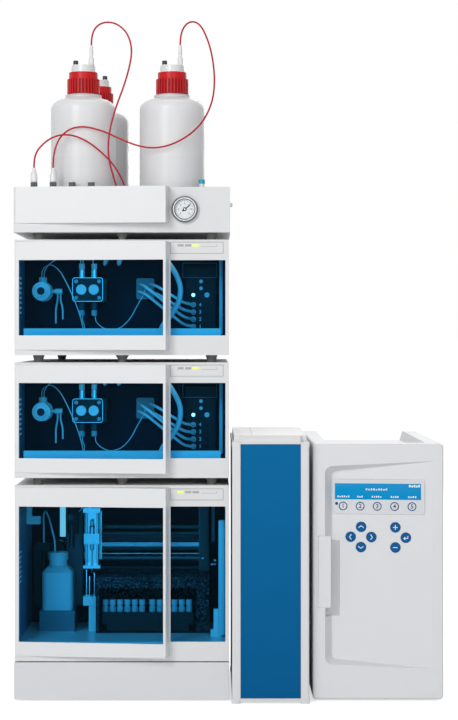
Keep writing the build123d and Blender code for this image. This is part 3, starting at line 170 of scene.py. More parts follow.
class Finish:
    """One material: its Principled shader and the nodes that vary it."""

    def __init__(self, name, color, roughness, **constants):
        self.material = bpy.data.materials.new(name)
        self.material.use_nodes = True
        self.tree = self.material.node_tree
        self.shader = self.tree.nodes["Principled BSDF"]
        self.output = self.tree.nodes["Material Output"]
        self.split = None
        self.material.diffuse_color = (*color, 1.0)
        self.set("Base Color", (*color, 1.0))
        self.set("Roughness", roughness)
        for title, value in constants.items():
            self.set(title.replace("_", " ").title().replace("Ior", "IOR"), value)

    def set(self, title, value):
        if isinstance(value, Wire):
            self.tree.links.new(value.socket, self.shader.inputs[title])
        else:
            self.shader.inputs[title].default_value = value

    def node(self, kind, settings=None, values=None, out=0):
        made = self.tree.nodes.new(kind)
        for title, value in (settings or {}).items():
            if title == "stops":
                self.stops(made.color_ramp, value)
            else:
                setattr(made, title, value)
        for title, value in (values or {}).items():
            if isinstance(value, Wire):
                self.tree.links.new(value.socket, made.inputs[title])
            else:
                made.inputs[title].default_value = value
        return Wire(self, made.outputs[out])

    def stops(self, ramp, stops):
        while len(ramp.elements) < len(stops):
            ramp.elements.new(0.5)
        for element, (place, color) in zip(ramp.elements, stops):
            element.position = place
            element.color = (*color, 1.0)

    def here(self):
        return self.node("ShaderNodeTexCoord", out="Object")

    def axes(self):
        """The three Object coordinates as separate wires, in millimetres."""
        if self.split is None:
            wide = self.node("ShaderNodeVectorMath", {"operation": "SCALE"},
                             {0: self.here(), "Scale": 1000.0})
            split = self.node("ShaderNodeSeparateXYZ", values={0: wide}).socket.node
            self.split = [Wire(self, socket) for socket in split.outputs]
        return self.split

    def box(self, x=None, y=None, z=None):
        """1 inside a box given by its bounds along the axes, 0 outside."""
        inside = None
        for wire, bounds in zip(self.axes(), (x, y, z)):
            if bounds is not None:
                between = wire.between(*bounds)
                inside = between if inside is None else inside * between
        return inside

    def over(self, mask, color, roughness=None):
        """Another colour, and roughness, where the mask is 1."""
        below = Wire(self, self.shader.inputs["Base Color"].links[0].from_socket)
        self.set("Base Color", self.mix(mask, below, (*color, 1.0)))
        if roughness is not None:
            links = self.shader.inputs["Roughness"].links
            rough = Wire(self, links[0].from_socket) if links else None
            if rough is not None:
                self.set("Roughness", rough * (1.0 - mask) + mask * roughness)

    def noise(self, scale, detail=2.0, rough=0.5, at=None):
        values = {"Vector": at or self.here(), "Scale": scale, "Detail": detail, "Roughness": rough}
        return self.node("ShaderNodeTexNoise", values=values)

    def mix(self, factor, first, second):
        values = {"Factor": factor, 6: first, 7: second}
        return self.node("ShaderNodeMix", {"data_type": "RGBA"}, values, out=2)

    def bump(self, height, distance, strength=1.0):
        values = {"Height": height, "Distance": distance, "Strength": strength}
        self.set("Normal", self.node("ShaderNodeBump", values=values))

    def grain(self, scale, distance, strength=0.4):
        self.bump(self.noise(scale, 3.0), distance, strength)


def shade(color):
    return (*color, 1.0)


# ---------------------------------------------------------------- finishes
def painted(name, color, gloss=0.4):
    """Fine textured paint with a faint unevenness."""
    made = Finish(name, color, 0.42, specular_ior_level=gloss)
    dim = [part * 0.97 for part in color]
    made.set("Base Color", made.mix(made.noise(9.0), shade(dim), shade(color)))
    made.set("Roughness", made.noise(60.0) * 0.10 + 0.38)
    made.grain(1400.0, 0.00004, 0.5)
    return made


def moulded(name, color, roughness=0.38, grain=0.00002, gloss=0.5):
    """Smooth moulded plastic."""
    made = Finish(name, color, roughness, specular_ior_level=gloss)
    dim = [part * 0.975 for part in color]
    made.set("Base Color", made.mix(made.noise(14.0), shade(dim), shade(color)))
    made.set("Roughness", made.noise(90.0) * 0.08 + (roughness - 0.04))
    made.grain(900.0, grain)
    return made


def machined(name, color, roughness=0.25, along=2):
    """Turned or ground metal, its fine marks across one axis."""
    made = Finish(name, color, roughness, metallic=1.0)
    stretch = [1.0, 1.0, 1.0]
    stretch[along] = 0.04
    ground = made.node("ShaderNodeMapping", values={0: made.here(), "Scale": stretch})
    marks = made.noise(2600.0, 2.0, at=ground)
    made.set("Base Color", made.mix(marks, shade([part * 0.9 for part in color]), shade(color)))
    made.set("Roughness", marks * 0.14 + (roughness - 0.07))
    made.bump(marks, 0.00001, 0.3)
    return made


def clear_sheet(name, tint):
    """Clear coloured sheet that lamps shine through."""
    made = Finish(name, tint, 0.04, specular_ior_level=0.5)
    made.set("Roughness", made.noise(5.0) * 0.03 + 0.03)
    clear = made.node("ShaderNodeBsdfTransparent", values={0: shade(tint)})
    gloss = made.node("ShaderNodeFresnel", values={"IOR": 1.12})
    mixed = made.node("ShaderNodeMixShader",
                      values={0: gloss, 1: clear, 2: Wire(made, made.shader.outputs[0])})
    made.tree.links.new(mixed.socket, made.output.inputs["Surface"])
    return made


def glowing(name, color, strength):
    """Lit window: plastic with a light of its own."""
    made = moulded(name, color, 0.3, gloss=0.1)
    made.set("Emission Color", shade(color))
    made.set("Emission Strength", strength)
    return made


def lined_housing(name, color, underside, bay, depth):
    """Outside paint, and the dark lining of the bay behind the door."""
    made = painted(name, color, 0.15)
    hair = 0.5
    across = (stack_x + wall - hair, stack_x + stack_w - wall + hair)
    back = (face_y + bezel_t - hair, face_y + bezel_t + depth + hair)
    height = (underside + bay[0] - hair, underside + bay[1] + hair)
    made.over(made.box(across, back, height), (0.0015, 0.005, 0.016), 0.6)
    for low, high in ((across[0], across[0] + 2 * hair), (across[1] - 2 * hair, across[1])):
        made.over(made.box((low, high), back, height), (0.16, 0.24, 0.34), 0.5)
    return made


def speckled(name):
    """Dark foam of the sample cooler, full of pale specks."""
    made = moulded(name, (0.008, 0.010, 0.015), 0.8, gloss=0.1)
    cells = made.node("ShaderNodeTexVoronoi", values={"Vector": made.here(), "Scale": 900.0})
    chance = made.noise(240.0).above(0.46)
    made.over(cells.below(0.30) * chance, (0.36, 0.42, 0.46))
    made.bump(cells, 0.0003, 0.5)
    return made


def head_metal(name):
    """Pump head: dark front plate, bright piston discs, steel valve bodies."""
    made = moulded(name, (0.010, 0.012, 0.016), 0.28, gloss=0.25)
    x, y = made.axes()[:2]
    level = unit_level(made)
    plate_front = face_y + bay_back - head_reach
    proud = made.box(None, (plate_front - 3, plate_front - 0.05), None)
    made.over(proud, (0.88, 0.90, 0.92), 0.25)
    screws = proud * 0.0
    for across in (head_x[0] + screw_inset, head_x[1] - screw_inset):
        for height in (head_z[0] + screw_inset, head_z[1] - screw_inset):
            run = (x - (stack_x + across)) * (x - (stack_x + across))
            rise = (level - height) * (level - height)
            screws = screws + (run + rise).below((screw_r + 0.1) ** 2)
    made.over(screws * y.below(plate_front + 1.5), (0.45, 0.48, 0.52), 0.3)
    above = level.above(head_z[1] + 0.2)
    below = level.below(head_z[0] - 0.2)
    bodies = above * level.below(head_z[1] + valve_h)
    nuts = above * level.above(head_z[1] + valve_h)
    made.over(bodies, (0.72, 0.74, 0.77), 0.2)
    made.over(nuts, (0.84, 0.86, 0.88), 0.35)
    made.over(below * level.above(head_z[0] - valve_h), (0.05, 0.06, 0.07), 0.25)
    made.over(below * level.below(head_z[0] - valve_h), (0.45, 0.5, 0.55), 0.35)
    made.set("Metallic", bodies * 0.9)
    return made


def unit_level(made):
    """Height above the underside of whichever of the two pumps the point is in."""
    z = made.axes()[2]
    upper = z.above(pump_z[0] - 6)
    return z - pump_z[1] - upper * (pump_z[0] - pump_z[1])


def cap_finish(name):
    """Red ribbed cap, with painted shade between its ribs."""
    made = moulded(name, (0.62, 0.010, 0.014), 0.34, gloss=0.22)
    x, y, z = made.axes()
    low = tray_z + tray_floor + cap_low
    for spot in bottles:
        run = x - (stack_x + spot[0])
        depth = y - (face_y + spot[1])
        radius = run * run + depth * depth
        # painted shade: the red is darkened in the hollows between the ribs
        groove_shade = radius.between(25.5 ** 2, 27.4 ** 2) * z.between(low, low + 25.0)
        made.over(groove_shade, (0.20, 0.004, 0.006), 0.5)
    return made


def cap_insert_finish(name):
    """White cap inserts with black vent plugs and clear barbs."""
    made = moulded(name, (0.80, 0.80, 0.80), 0.32)
    x, y, z = made.axes()
    for spot, offset in zip(bottles, (front_vent, front_vent, rear_vent, rear_vent)):
        run = x - (stack_x + spot[0] + offset[0])
        depth = y - (face_y + spot[1] + offset[1])
        plug = (run * run + depth * depth).below(vent_r ** 2) * z.above(insert_top_z + 1.5)
        made.over(plug, (0.012, 0.012, 0.014), 0.4)
    return made


def connector_finish(name):
    """White hose connectors, and the blue cap of the gas fitting."""
    made = moulded(name, (0.82, 0.82, 0.83), 0.3)
    low = tray_z + tray_h
    gas = (stack_x + gas_x - 6, stack_x + gas_x + 6)
    made.over(made.box(gas, None, (low + 6, low + 20)), (0.0, 0.30, 0.52), 0.35)
    made.over(made.box(gas, None, (low - 1, low + 6)), (0.72, 0.73, 0.74), 0.3)
    return made


def collar_finish(name):
    """Dark knurled collar, paler in a thin band at its upper edge."""
    made = moulded(name, (0.085, 0.087, 0.09), 0.4)
    top = tray_z + tray_h + 0.3 + collar_h
    made.over(made.axes()[2].above(top - 0.6), (0.30, 0.30, 0.31))
    return made


def gauge_finish(name):
    """Chromed case with a white dial at the bottom of its cup; the chrome is dimmed, and a dark ring round
    the dial and a dark outer rim are painted reflections.
    """
    made = machined(name, (0.46, 0.47, 0.49), 0.14, 1)
    x, y, z = made.axes()
    run = x - gauge_at[0]
    rise = z - gauge_at[1]
    dial = (run * run + rise * rise).below(dial_r ** 2) * y.above(dial_y - 0.3)
    radius = run * run + rise * rise
    # painted reflection: dark ring round the dial and dark outer rim on the chrome
    made.over(radius.between(dial_r ** 2, 17.4 ** 2), (0.03, 0.032, 0.035), 0.4)
    made.over(radius.above(19.1 ** 2), (0.10, 0.105, 0.11))
    made.over(dial, (0.80, 0.83, 0.86), 0.5)
    made.set("Metallic", 1.0 - dial)
    return made


def tray_moulding(name):
    """White leak trays, the dark bottle holder and the lit strip on the sampler's wall."""
    made = moulded(name, (0.88, 0.89, 0.90), 0.3)
    low = sampler_z + 30.0
    holder = made.box((stack_x + 30, stack_x + 93), (face_y + 123, face_y + 186),
                      (low + 1, low + 40))
    made.over(holder, (0.12, 0.16, 0.20), 0.4)
    strip = made.box((stack_x + 57, stack_x + 72), (face_y + 229, face_y + 243),
                     (sampler_z + 185, sampler_z + 251))
    made.set("Emission Color", made.mix(strip, shade((0.0, 0.0, 0.0)), shade((0.95, 0.98, 1.0))))
    made.set("Emission Strength", wall_strip_level)
    return made


def panel_finish(name):
    """Port plates: pale grey manifold, dark panel with pale rings."""
    made = moulded(name, (0.30, 0.34, 0.38), 0.35, gloss=0.2)
    panel_low = stack_x + panel_x[0] - 1
    panel_front = face_y + bay_back - panel_t
    dark = made.axes()[0].above(panel_low) * made.axes()[1].above(panel_front - 0.2)
    made.over(dark, (0.008, 0.012, 0.018), 0.5)
    rings = made.axes()[0].above(panel_low) * made.axes()[1].below(panel_front - 0.2)
    made.over(rings, (0.74, 0.78, 0.82), 0.3)
    return made


def rail_finish(name):
    """Steel rails in front of the dark rolls, with painted highlight bands along the rolls, and the black
    drive block.
    """
    made = machined(name, (0.34, 0.36, 0.40), 0.26, 0)
    x, y, z = made.axes()
    beam = y.above(face_y + 200) * x.above(stack_x + 104.2) * x.below(stack_x + rail_end - 0.2)
    drive = x.below(stack_x + 103.9)
    end = x.above(stack_x + rail_end + 0.2)
    level = z - sampler_z
    # painted highlight: two paler bands along the dark rolls
    highlight_bands = level.between(184, 190) + level.between(149, 153)
    made.over(beam, (0.010, 0.014, 0.020), 0.3)
    made.over(beam * highlight_bands, (0.10, 0.13, 0.16), 0.25)
    made.over(drive, (0.035, 0.04, 0.05), 0.4)
    made.over(end, (0.02, 0.025, 0.03), 0.4)
    made.set("Metallic", (1.0 - beam) * (1.0 - drive) * (1.0 - end))
    return made


def vial_finish(name):
    """Clear glass vials with pale moulded caps."""
    made = Finish(name, (0.55, 0.62, 0.66), 0.08, specular_ior_level=0.6)
    z = made.axes()[2]
    cap = z.above(vial_cap_z)
    made.set("Base Color", made.mix(made.noise(220.0, 1.0), shade((0.30, 0.36, 0.40)),
                                    shade((0.62, 0.70, 0.75))))
    made.over(cap, (0.58, 0.62, 0.66), 0.4)
    return made


def milky_finish(name):
    """Translucent bottle wall, clearer above the liquid."""
    made = Finish(name, (0.70, 0.71, 0.72), 0.33, specular_ior_level=0.45,
                  subsurface_weight=0.8, subsurface_scale=0.5)
    made.set("Subsurface Radius", (0.06, 0.06, 0.06))
    z = made.axes()[2]
    cloud = made.noise(6.0) * 0.6 + made.noise(38.0) * 0.4
    made.set("Base Color", made.mix(cloud, shade((0.72, 0.725, 0.735)), shade((0.79, 0.795, 0.80))))
    liquid = z.below(tray_z + tray_floor + 120)
    made.over(liquid * 0.5, (0.72, 0.73, 0.745))
    made.set("Roughness", made.noise(40.0) * 0.10 + 0.28)
    made.bump(made.noise(14.0, 1.0), 0.0008, 0.25)
    return made


def enamel_finish(name):
    """Blue lacquered panel, with painted shade that darkens it a little towards its foot."""
    made = painted(name, (0.0, 0.125, 0.33), 0.06)
    z = made.axes()[2]
    # painted shade: the blue darkens from the panel's top down to its foot
    shade_ramp = made.mix(z / 440.0, shade((0.0, 0.105, 0.285)), shade((0.0, 0.142, 0.350)))
    made.set("Base Color", made.mix(made.noise(18.0) * 0.12, shade_ramp, shade((0.0, 0.16, 0.41))))
    made.set("Roughness", made.noise(70.0) * 0.10 + 0.40)
    return made


def tower_finish(name):
    """Painted frame with darker side panels and a pale lid."""
    made = painted(name, (0.76, 0.765, 0.77))
    sides = made.box((tower_x + 0.5, tower_x + 1.6), (tower_front + 14, 1000), (14, 422))
    made.over(sides, (0.46, 0.47, 0.48))
    made.over(made.axes()[2].above(tower_h + 0.2), (0.80, 0.795, 0.785))
    return made


def plate_finish(name):
    """Display plate: pale grey overlay inside a lighter rim."""
    made = moulded(name, (0.70, 0.72, 0.75), 0.42)
    made.set("Roughness", made.noise(120.0) * 0.08 + 0.40)
    return made


finishes = {
    "house": lined_housing("sampler_paint", house_color, sampler_z, sampler_bay, sampler_depth),
    "pump_1": lined_housing("pump_1_paint", house_color, pump_z[0], pump_bay, pump_depth),
    "pump_2": lined_housing("pump_2_paint", house_color, pump_z[1], pump_bay, pump_depth),
    "plain": painted("warm_white_paint", house_color),
    "plinth": painted("plinth_paint", (0.735, 0.745, 0.76)),
    "cover": moulded("cover_white", (0.80, 0.81, 0.82)),
    "detector": moulded("detector_grey", (0.765, 0.77, 0.785), 0.42),
    "detector_case": painted("detector_paint", (0.78, 0.785, 0.79)),
    "pane": clear_sheet("blue_clear_sheet", (0.42, 0.82, 0.98)),
    "enamel": enamel_finish("blue_enamel"),
    "tower": tower_finish("tower_paint"),
    "rubber": moulded("foot_rubber", (0.13, 0.13, 0.125), 0.7),
    "steel": machined("machined_steel", (0.70, 0.72, 0.75)),
    "white_metal": moulded("pale_coated_metal", (0.84, 0.86, 0.88), 0.25),
    "carriage": machined("bright_carriage", (0.80, 0.82, 0.85), 0.22),
    "gauge": gauge_finish("gauge_chrome"),
    "head": head_metal("pump_head_finish"),
    "cooler": speckled("speckled_foam"),
    "black": moulded("black_plastic", (0.014, 0.016, 0.020), 0.4, gloss=0.2),
    "collar": collar_finish("knurled_collar"),
    "panel": panel_finish("port_plates"),
    "trays": tray_moulding("tray_white"),
    "rails": rail_finish("rails_and_beam"),
    "bottle": moulded("wash_bottle_plastic", (0.66, 0.70, 0.74), 0.3),
    "line": moulded("clear_line", (0.88, 0.90, 0.92), 0.18),
    "milky": milky_finish("milky_bottle"),
    "cap": cap_finish("cap_red"),
    "insert": cap_insert_finish("insert_white"),
    "fitting": connector_finish("fitting_white"),
    "tube": moulded("tube_red", (0.50, 0.012, 0.030), 0.35, 0.0, 0.2),
    "key": moulded("key_blue", (0.0, 0.105, 0.32), 0.4, gloss=0.12),
    "plate": plate_finish("display_overlay"),
    "glass": vial_finish("vial_glass"),
    "screen": glowing("screen_blue", (0.0, 0.23, 0.50), 0.25),
    "ink": moulded("mark_white", (0.88, 0.89, 0.90), 0.4),
    "blue_ink": moulded("mark_blue", (0.012, 0.065, 0.20), 0.4, gloss=0.1),
    "grey_ink": moulded("mark_grey", (0.30, 0.31, 0.33), 0.4),
    "black_ink": moulded("mark_black", (0.03, 0.03, 0.033), 0.4),
    "lit": glowing("lit_yellow_green", (0.72, 0.80, 0.16), 0.45),
    "unlit": moulded("unlit_window", (0.42, 0.43, 0.42), 0.35),
    "strip": glowing("lamp_strip", (0.95, 0.98, 1.0), roof_strip_level),
    "lamp": glowing("white_lamp", (1.0, 1.0, 1.0), 3.0),
}

plan = {
    "house": ["sampler_housing"],
    "pump_1": ["pump_1_housing"],
    "pump_2": ["pump_2_housing"],
    "plinth": ["plinth"],
    "plain": ["tray_body", "front_bezels"],
    "cover": ["sampler_door", "pump_1_door", "pump_2_door", "tray_front"],
    "detector": ["detector_door", "detector_handle"],
    "detector_case": ["detector_housing"],
    "tower": ["tower_enclosure"],
    "pane": ["fixed_panes", "sampler_door_pane", "pump_1_door_pane", "pump_2_door_pane"],
    "enamel": ["tower_front_panel"],
    "rubber": ["module_feet"],
    "steel": ["column_and_cell", "needle"],
    "carriage": ["needle_carriage"],
    "white_metal": ["purge_valve_bodies"],
    "rails": ["carriage_rails"],
    "gauge": ["gauge"],
    "head": ["pump_heads"],
    "cooler": ["sample_cooler"],
    "black": ["syringe_unit", "vial_rack", "gauge_needle"],
    "collar": ["valve_collar_1", "valve_collar_2", "valve_collar_3", "valve_collar_4"],
    "panel": ["port_manifolds"],
    "trays": ["leak_trays", "purge_knob_1", "purge_knob_2"],
    "bottle": ["wash_bottle"],
    "line": ["wash_hoses", "capillaries"],
    "milky": ["solvent_bottles"],
    "cap": ["cap_ring_1", "cap_ring_2", "cap_ring_3", "cap_ring_4"],
    "insert": ["cap_inserts"],
    "fitting": ["hose_connectors"],
    "key": ["key_up", "key_left", "key_right", "key_down", "key_plus", "key_enter", "key_minus"],
    "plate": ["detector_display"],
    "glass": ["vials"],
    "tube": ["solvent_tube_1", "solvent_tube_2"],
}
for title, names in plan.items():
    for name in names:
        mesh = nodes[name].data
        mesh.materials.clear()
        mesh.materials.append(finishes[title].material)


# ---------------------------------------------------------------- modelling
def deselect():
    bpy.ops.object.select_all(action="DESELECT")


def settle(piece, name, finish, body, frame_of=None):
    """Moves the piece's place into its mesh and gives it its finish and body."""
    piece.name = name
    piece.data.name = name
    bpy.context.view_layer.update()
    if frame_of is not None:
        piece.matrix_world = frame_of @ piece.matrix_world
    deselect()
    piece.select_set(True)
    bpy.context.view_layer.objects.active = piece
    bpy.ops.object.transform_apply(location=True, rotation=True, scale=True)
    piece.data.materials.clear()
    piece.data.materials.append(finishes[finish].material)
    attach(piece, body)
    return piece


def slab(name, x, y, z, finish, body="base", soft=0.3, frame_of=None):
    """Block with softened edges between pairs of bounds, all in millimetres."""
    deselect()
    size = [(pair[1] - pair[0]) * mm for pair in (x, y, z)]
    middle = [(pair[1] + pair[0]) / 2 * mm for pair in (x, y, z)]
    bpy.ops.mesh.primitive_cube_add(size=1, location=middle)
    piece = bpy.context.object
    piece.scale = size
    bpy.ops.object.transform_apply(location=False, rotation=False, scale=True)
    edge = piece.modifiers.new("softened", "BEVEL")
    edge.width = min(soft * mm, min(size) * 0.45)
    edge.segments = 2
    bpy.ops.object.modifier_apply(modifier=edge.name)
    bpy.ops.object.shade_smooth_by_angle(angle=radians(40))
    return settle(piece, name, finish, body, frame_of)


def turned(name, place, steps, finish, body="base", turn=None, frame_of=None, sides=40):
    """Turned piece: a disc drawn up step by step, each step a (radius, height) in mm."""
    deselect()
    bpy.ops.mesh.primitive_circle_add(vertices=sides, radius=steps[0][0] * mm, fill_type="NGON")
    piece = bpy.context.object
    bpy.ops.object.mode_set(mode="EDIT")
    bpy.ops.mesh.select_all(action="SELECT")
    bpy.ops.mesh.flip_normals()
    radius, height = steps[0]
    for next_radius, next_height in steps[1:]:
        bpy.ops.mesh.extrude_region_move(
            TRANSFORM_OT_translate={"value": (0, 0, (next_height - height) * mm)})
        ratio = next_radius / radius
        bpy.ops.transform.resize(value=(ratio, ratio, 1), center_override=(0, 0, 0))
        radius, height = next_radius, next_height
    bpy.ops.mesh.select_all(action="SELECT")
    bpy.ops.mesh.normals_make_consistent(inside=False)
    bpy.ops.object.mode_set(mode="OBJECT")
    bpy.ops.object.shade_smooth_by_angle(angle=radians(35))
    piece.matrix_world = Matrix.Translation([part * mm for part in place]) @ (turn or Matrix())
    return settle(piece, name, finish, body, frame_of)


def ring(name, place, radius, thick, finish, body="base", frame_of=None):
    """Fine flat ring that faces the front."""
    deselect()
    bpy.ops.mesh.primitive_torus_add(major_radius=radius * mm, minor_radius=thick * mm,
                                     major_segments=40, minor_segments=6)
    piece = bpy.context.object
    bpy.ops.object.shade_smooth_by_angle(angle=radians(60))
    flat = Matrix.Diagonal((1, 1, 0.5, 1))
    piece.matrix_world = Matrix.Translation([part * mm for part in place]) @ face_front @ flat
    return settle(piece, name, finish, body, frame_of)


def figure(name, text, place, height, finish, body="base", frame_of=None, spin=0.0):
    """Plain figures, upright and facing the front, centred on their place."""
    deselect()
    bpy.ops.object.text_add()
    piece = bpy.context.object
    piece.data.body = text
    piece.data.align_x = "CENTER"
    piece.data.align_y = "CENTER"
    piece.data.size = height * mm
    piece.data.extrude = 0.05 * mm
    piece.data.offset = height * 0.018 * mm
    bpy.ops.object.convert(target="MESH")
    piece = bpy.context.object
    spun = Matrix.Rotation(spin, 4, "Y")
    piece.matrix_world = Matrix.Translation([part * mm for part in place]) @ spun @ face_front
    return settle(piece, name, finish, body, frame_of)


def stroke(name, start, end, wide, depth, finish, body, frame_of=None):
    """Straight raised mark between two (x, z) points on a face at depth y."""
    length = hypot(end[0] - start[0], end[1] - start[1]) + wide
    lean = atan2(end[1] - start[1], end[0] - start[0])
    middle = ((start[0] + end[0]) / 2 * mm, depth * mm, (start[1] + end[1]) / 2 * mm)
    here = Matrix.Translation(middle) @ Matrix.Rotation(-lean, 4, "Y")
    over = here if frame_of is None else frame_of @ here
    return slab(name, (-length / 2, length / 2), (-0.12, 0.0), (-wide / 2, wide / 2), finish, body,
                0.1, over)


def join(pieces, name, body):
    """Makes one piece of several that carry the same finish."""
    deselect()
    for piece in pieces:
        piece.select_set(True)
    bpy.context.view_layer.objects.active = pieces[0]
    bpy.ops.object.join()
    joined = bpy.context.object
    joined.name = name
    joined.data.name = name
    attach(joined, body)
    return joined


face_front = Matrix.Rotation(radians(90), 4, "X")


# ---------------------------------------------------------------- marks on the modules
def span(origin, pair):
    """Bounds drawn from a unit's own side or underside, as frame millimetres."""
    return (origin + pair[0], origin + pair[1])


def status_windows(title, underside, lit_at):
    """Three lamp windows and a slot on the plate beside the door."""
    level = underside + status_level[title]
    windows = ((274.6, 284.6), (287.2, 297.2), (299.4, 310.6))
    for count, pair in enumerate(windows):
        slab(f"{title}_lamp_window_{count + 1}", span(stack_x, pair), span(face_y, (-0.5, 0.2)),
             (level - 1.9, level + 1.9), "lit" if count == lit_at else "unlit", soft=1.2)
    left, right = stack_x + 315.0, stack_x + 340.6
    marks = [stroke("slot_line", (left, level - 2.0), (right, level - 2.0), 0.5, face_y,
                    "grey_ink", "base"),
             stroke("slot_end", (right, level - 2.0), (right, level + 1.6), 0.5, face_y,
                    "grey_ink", "base")]
    join(marks, f"{title}_slot_mark", "base")
    low, high = level - 13.4, level + 5.6
    corners = ((stack_x + 262.0, low), (stack_x + 351.2, low), (stack_x + 351.2, high),
               (stack_x + 262.0, high))
    edges = [stroke("plate_edge", start, end, 0.7, face_y, "grey_ink", "base")
             for start, end in zip(corners, corners[1:] + corners[:1])]
    join(edges, f"{title}_plate_edge", "base")


def port_marks(title, underside):
    """Figures, dots and the lamp on the port panel, and the strips beside it."""
    front = face_y + (bay_back - panel_t)
    left = stack_x + ring_x
    right = stack_x + blind_x
    low = underside
    figures = [figure("port_figure", str(count), ((left + right) / 2, front - 0.05, low + height),
                      8.5, "ink") for height, count in zip(ring_z, "4321")]
    join(figures, f"{title}_port_figures", "base")
    turned(f"{title}_panel_lamp", (left, front - 2.0, low + lamp_z),
           ((3.0, 0), (3.0, 0.6), (2.2, 1.2), (0.6, 1.5)), "lamp", turn=face_front, sides=24)
    for count, height in enumerate((114.5, 126.5)):
        turned(f"{title}_panel_screw_{count + 1}", ((left + right) / 2 + 1.5, front, low + height),
               ((3.2, 0), (3.2, 0.8), (2.5, 1.3), (1.5, 1.3), (1.2, 0.5)), "white_metal",
               turn=face_front, sides=24)
    for count, height in enumerate(ring_z):
        turned(f"{title}_ring_bore_{count + 1}", (left, front - ring_len, low + height),
               ((ring_r - 0.2, 0), (ring_r - 0.2, 0.3), (ring_r - 1.0, 0.5)), "panel",
               turn=face_front, sides=24)
    back = face_y + bay_back
    slab(f"{title}_cable_cover", span(stack_x, (344.5, 351.0)), (back - 8, back - 0.3),
         (low + 34.5, low + 166), "trays", soft=2.0)
    outline = []
    corners = ((282, 133), (340, 133), (340, 158), (282, 158))
    for start, end in zip(corners, corners[1:] + corners[:1]):
        outline.append(stroke("outline", (stack_x + start[0], low + start[1]),
                              (stack_x + end[0], low + end[1]), 0.5, front - 0.05,
                              "grey_ink", "base"))
    join(outline, f"{title}_plate_outline", "base")


def head_outline(title, underside):
    """Bright machined edge round the pump head's front plate."""
    front = face_y + (bay_back - head_reach)
    low = underside
    deselect()
    x = span(stack_x, (head_x[0], head_x[1]))
    z = (low + head_z[0], low + head_z[1])
    bpy.ops.mesh.primitive_plane_add(size=1, location=(0, 0, 0))
    piece = bpy.context.object
    piece.scale = ((x[1] - x[0]) * mm, (z[1] - z[0]) * mm, 1)
    bpy.ops.object.transform_apply(location=False, rotation=False, scale=True)
    bpy.ops.object.mode_set(mode="EDIT")
    bpy.ops.mesh.select_all(action="SELECT")
    bpy.ops.mesh.bevel(offset=4.8 * mm, segments=6, affect="VERTICES")
    bpy.ops.mesh.select_all(action="SELECT")
    bpy.ops.mesh.inset(thickness=0.9 * mm, depth=0)
    bpy.ops.mesh.delete(type="FACE")
    bpy.ops.object.mode_set(mode="OBJECT")
    wall_of = piece.modifiers.new("thick", "SOLIDIFY")
    wall_of.thickness = 0.35 * mm
    wall_of.offset = 1
    bpy.ops.object.modifier_apply(modifier=wall_of.name)
    place = ((x[0] + x[1]) / 2 * mm, (front - 0.02) * mm, (z[0] + z[1]) / 2 * mm)
    piece.matrix_world = Matrix.Translation(place) @ face_front
    settle(piece, f"{title}_head_edge", "carriage", "base")


def roof_fittings(title, underside):
    """Two hose ends that come down from the bay's roof."""
    low = underside
    for count, across in enumerate((153.0, 177.0)):
        place = (stack_x + across, face_y + 80, low + 173.8)
        lean = Matrix.Rotation(radians(180), 4, "X") @ Matrix.Rotation(radians(-18), 4, "Y")
        turned(f"{title}_roof_fitting_{count + 1}", place,
               ((3.0, 0), (3.0, 9), (4.2, 10), (4.2, 18), (2.4, 19), (2.4, 21)), "line",
               turn=lean, sides=20)


def knob_face(title, body, underside):
    """Dark disc in the middle of the purge knob, inside the knob's pale edge."""
    front = face_y + (bay_back) - 30.3 - 27.0
    place = (stack_x + 40.0, front, underside + 109.0)
    turned(f"{title}_knob_disc", place, ((6.6, -0.05), (6.6, 0.5), (5.9, 0.9), (5.2, 0.6)), "black",
           body, face_front, sides=32)


# ---------------------------------------------------------------- marks on the gauge
def gauge_marks():
    """Plain scale round the dial: long and short strokes with figures."""
    x, z = gauge_at[0], gauge_at[1]
    depth = dial_y - 0.05
    marks = []
    for count in range(31):
        angle = radians(225 - count * 9)
        inner = 12.6 if count % 5 == 0 else 13.8
        start = (x + inner * cos(angle), z + inner * sin(angle))
        end = (x + 15.2 * cos(angle), z + 15.2 * sin(angle))
        marks.append(stroke("tick", start, end, 0.55 if count % 5 == 0 else 0.3, depth,
                            "black_ink", "base"))
    join(marks, "gauge_ticks", "base")
    figures = []
    for count in range(7):
        angle = radians(225 - count * 45)
        place = (x + 9.9 * cos(angle), depth, z + 9.9 * sin(angle))
        figures.append(figure("scale_figure", str(count * 2), place, 3.6, "black_ink"))
    join(figures, "gauge_figures", "base")
    # the bezel lies in the gauge finish's painted dark reflection band
    ring("gauge_bezel", (x, face_y - 7.0, z), 19.6, 2.4, "gauge")


def hose_sleeves():
    """White sleeves where the red tubes enter their connectors."""
    for count, across in enumerate((31.4, 63.7)):
        turned(f"hose_sleeve_{count + 1}", (stack_x + across, face_y + 15.0, tray_z + tray_h + 9.3),
               ((5.0, 0), (5.8, 0.8), (5.6, 12), (4.4, 16), (2.5, 20)), "fitting", sides=32)


# ---------------------------------------------------------------- detector front
def along(x):
    """Distance along the tilted panel of a point at x, as in the solids."""
    return (x - panel_left) / cos(tilt)


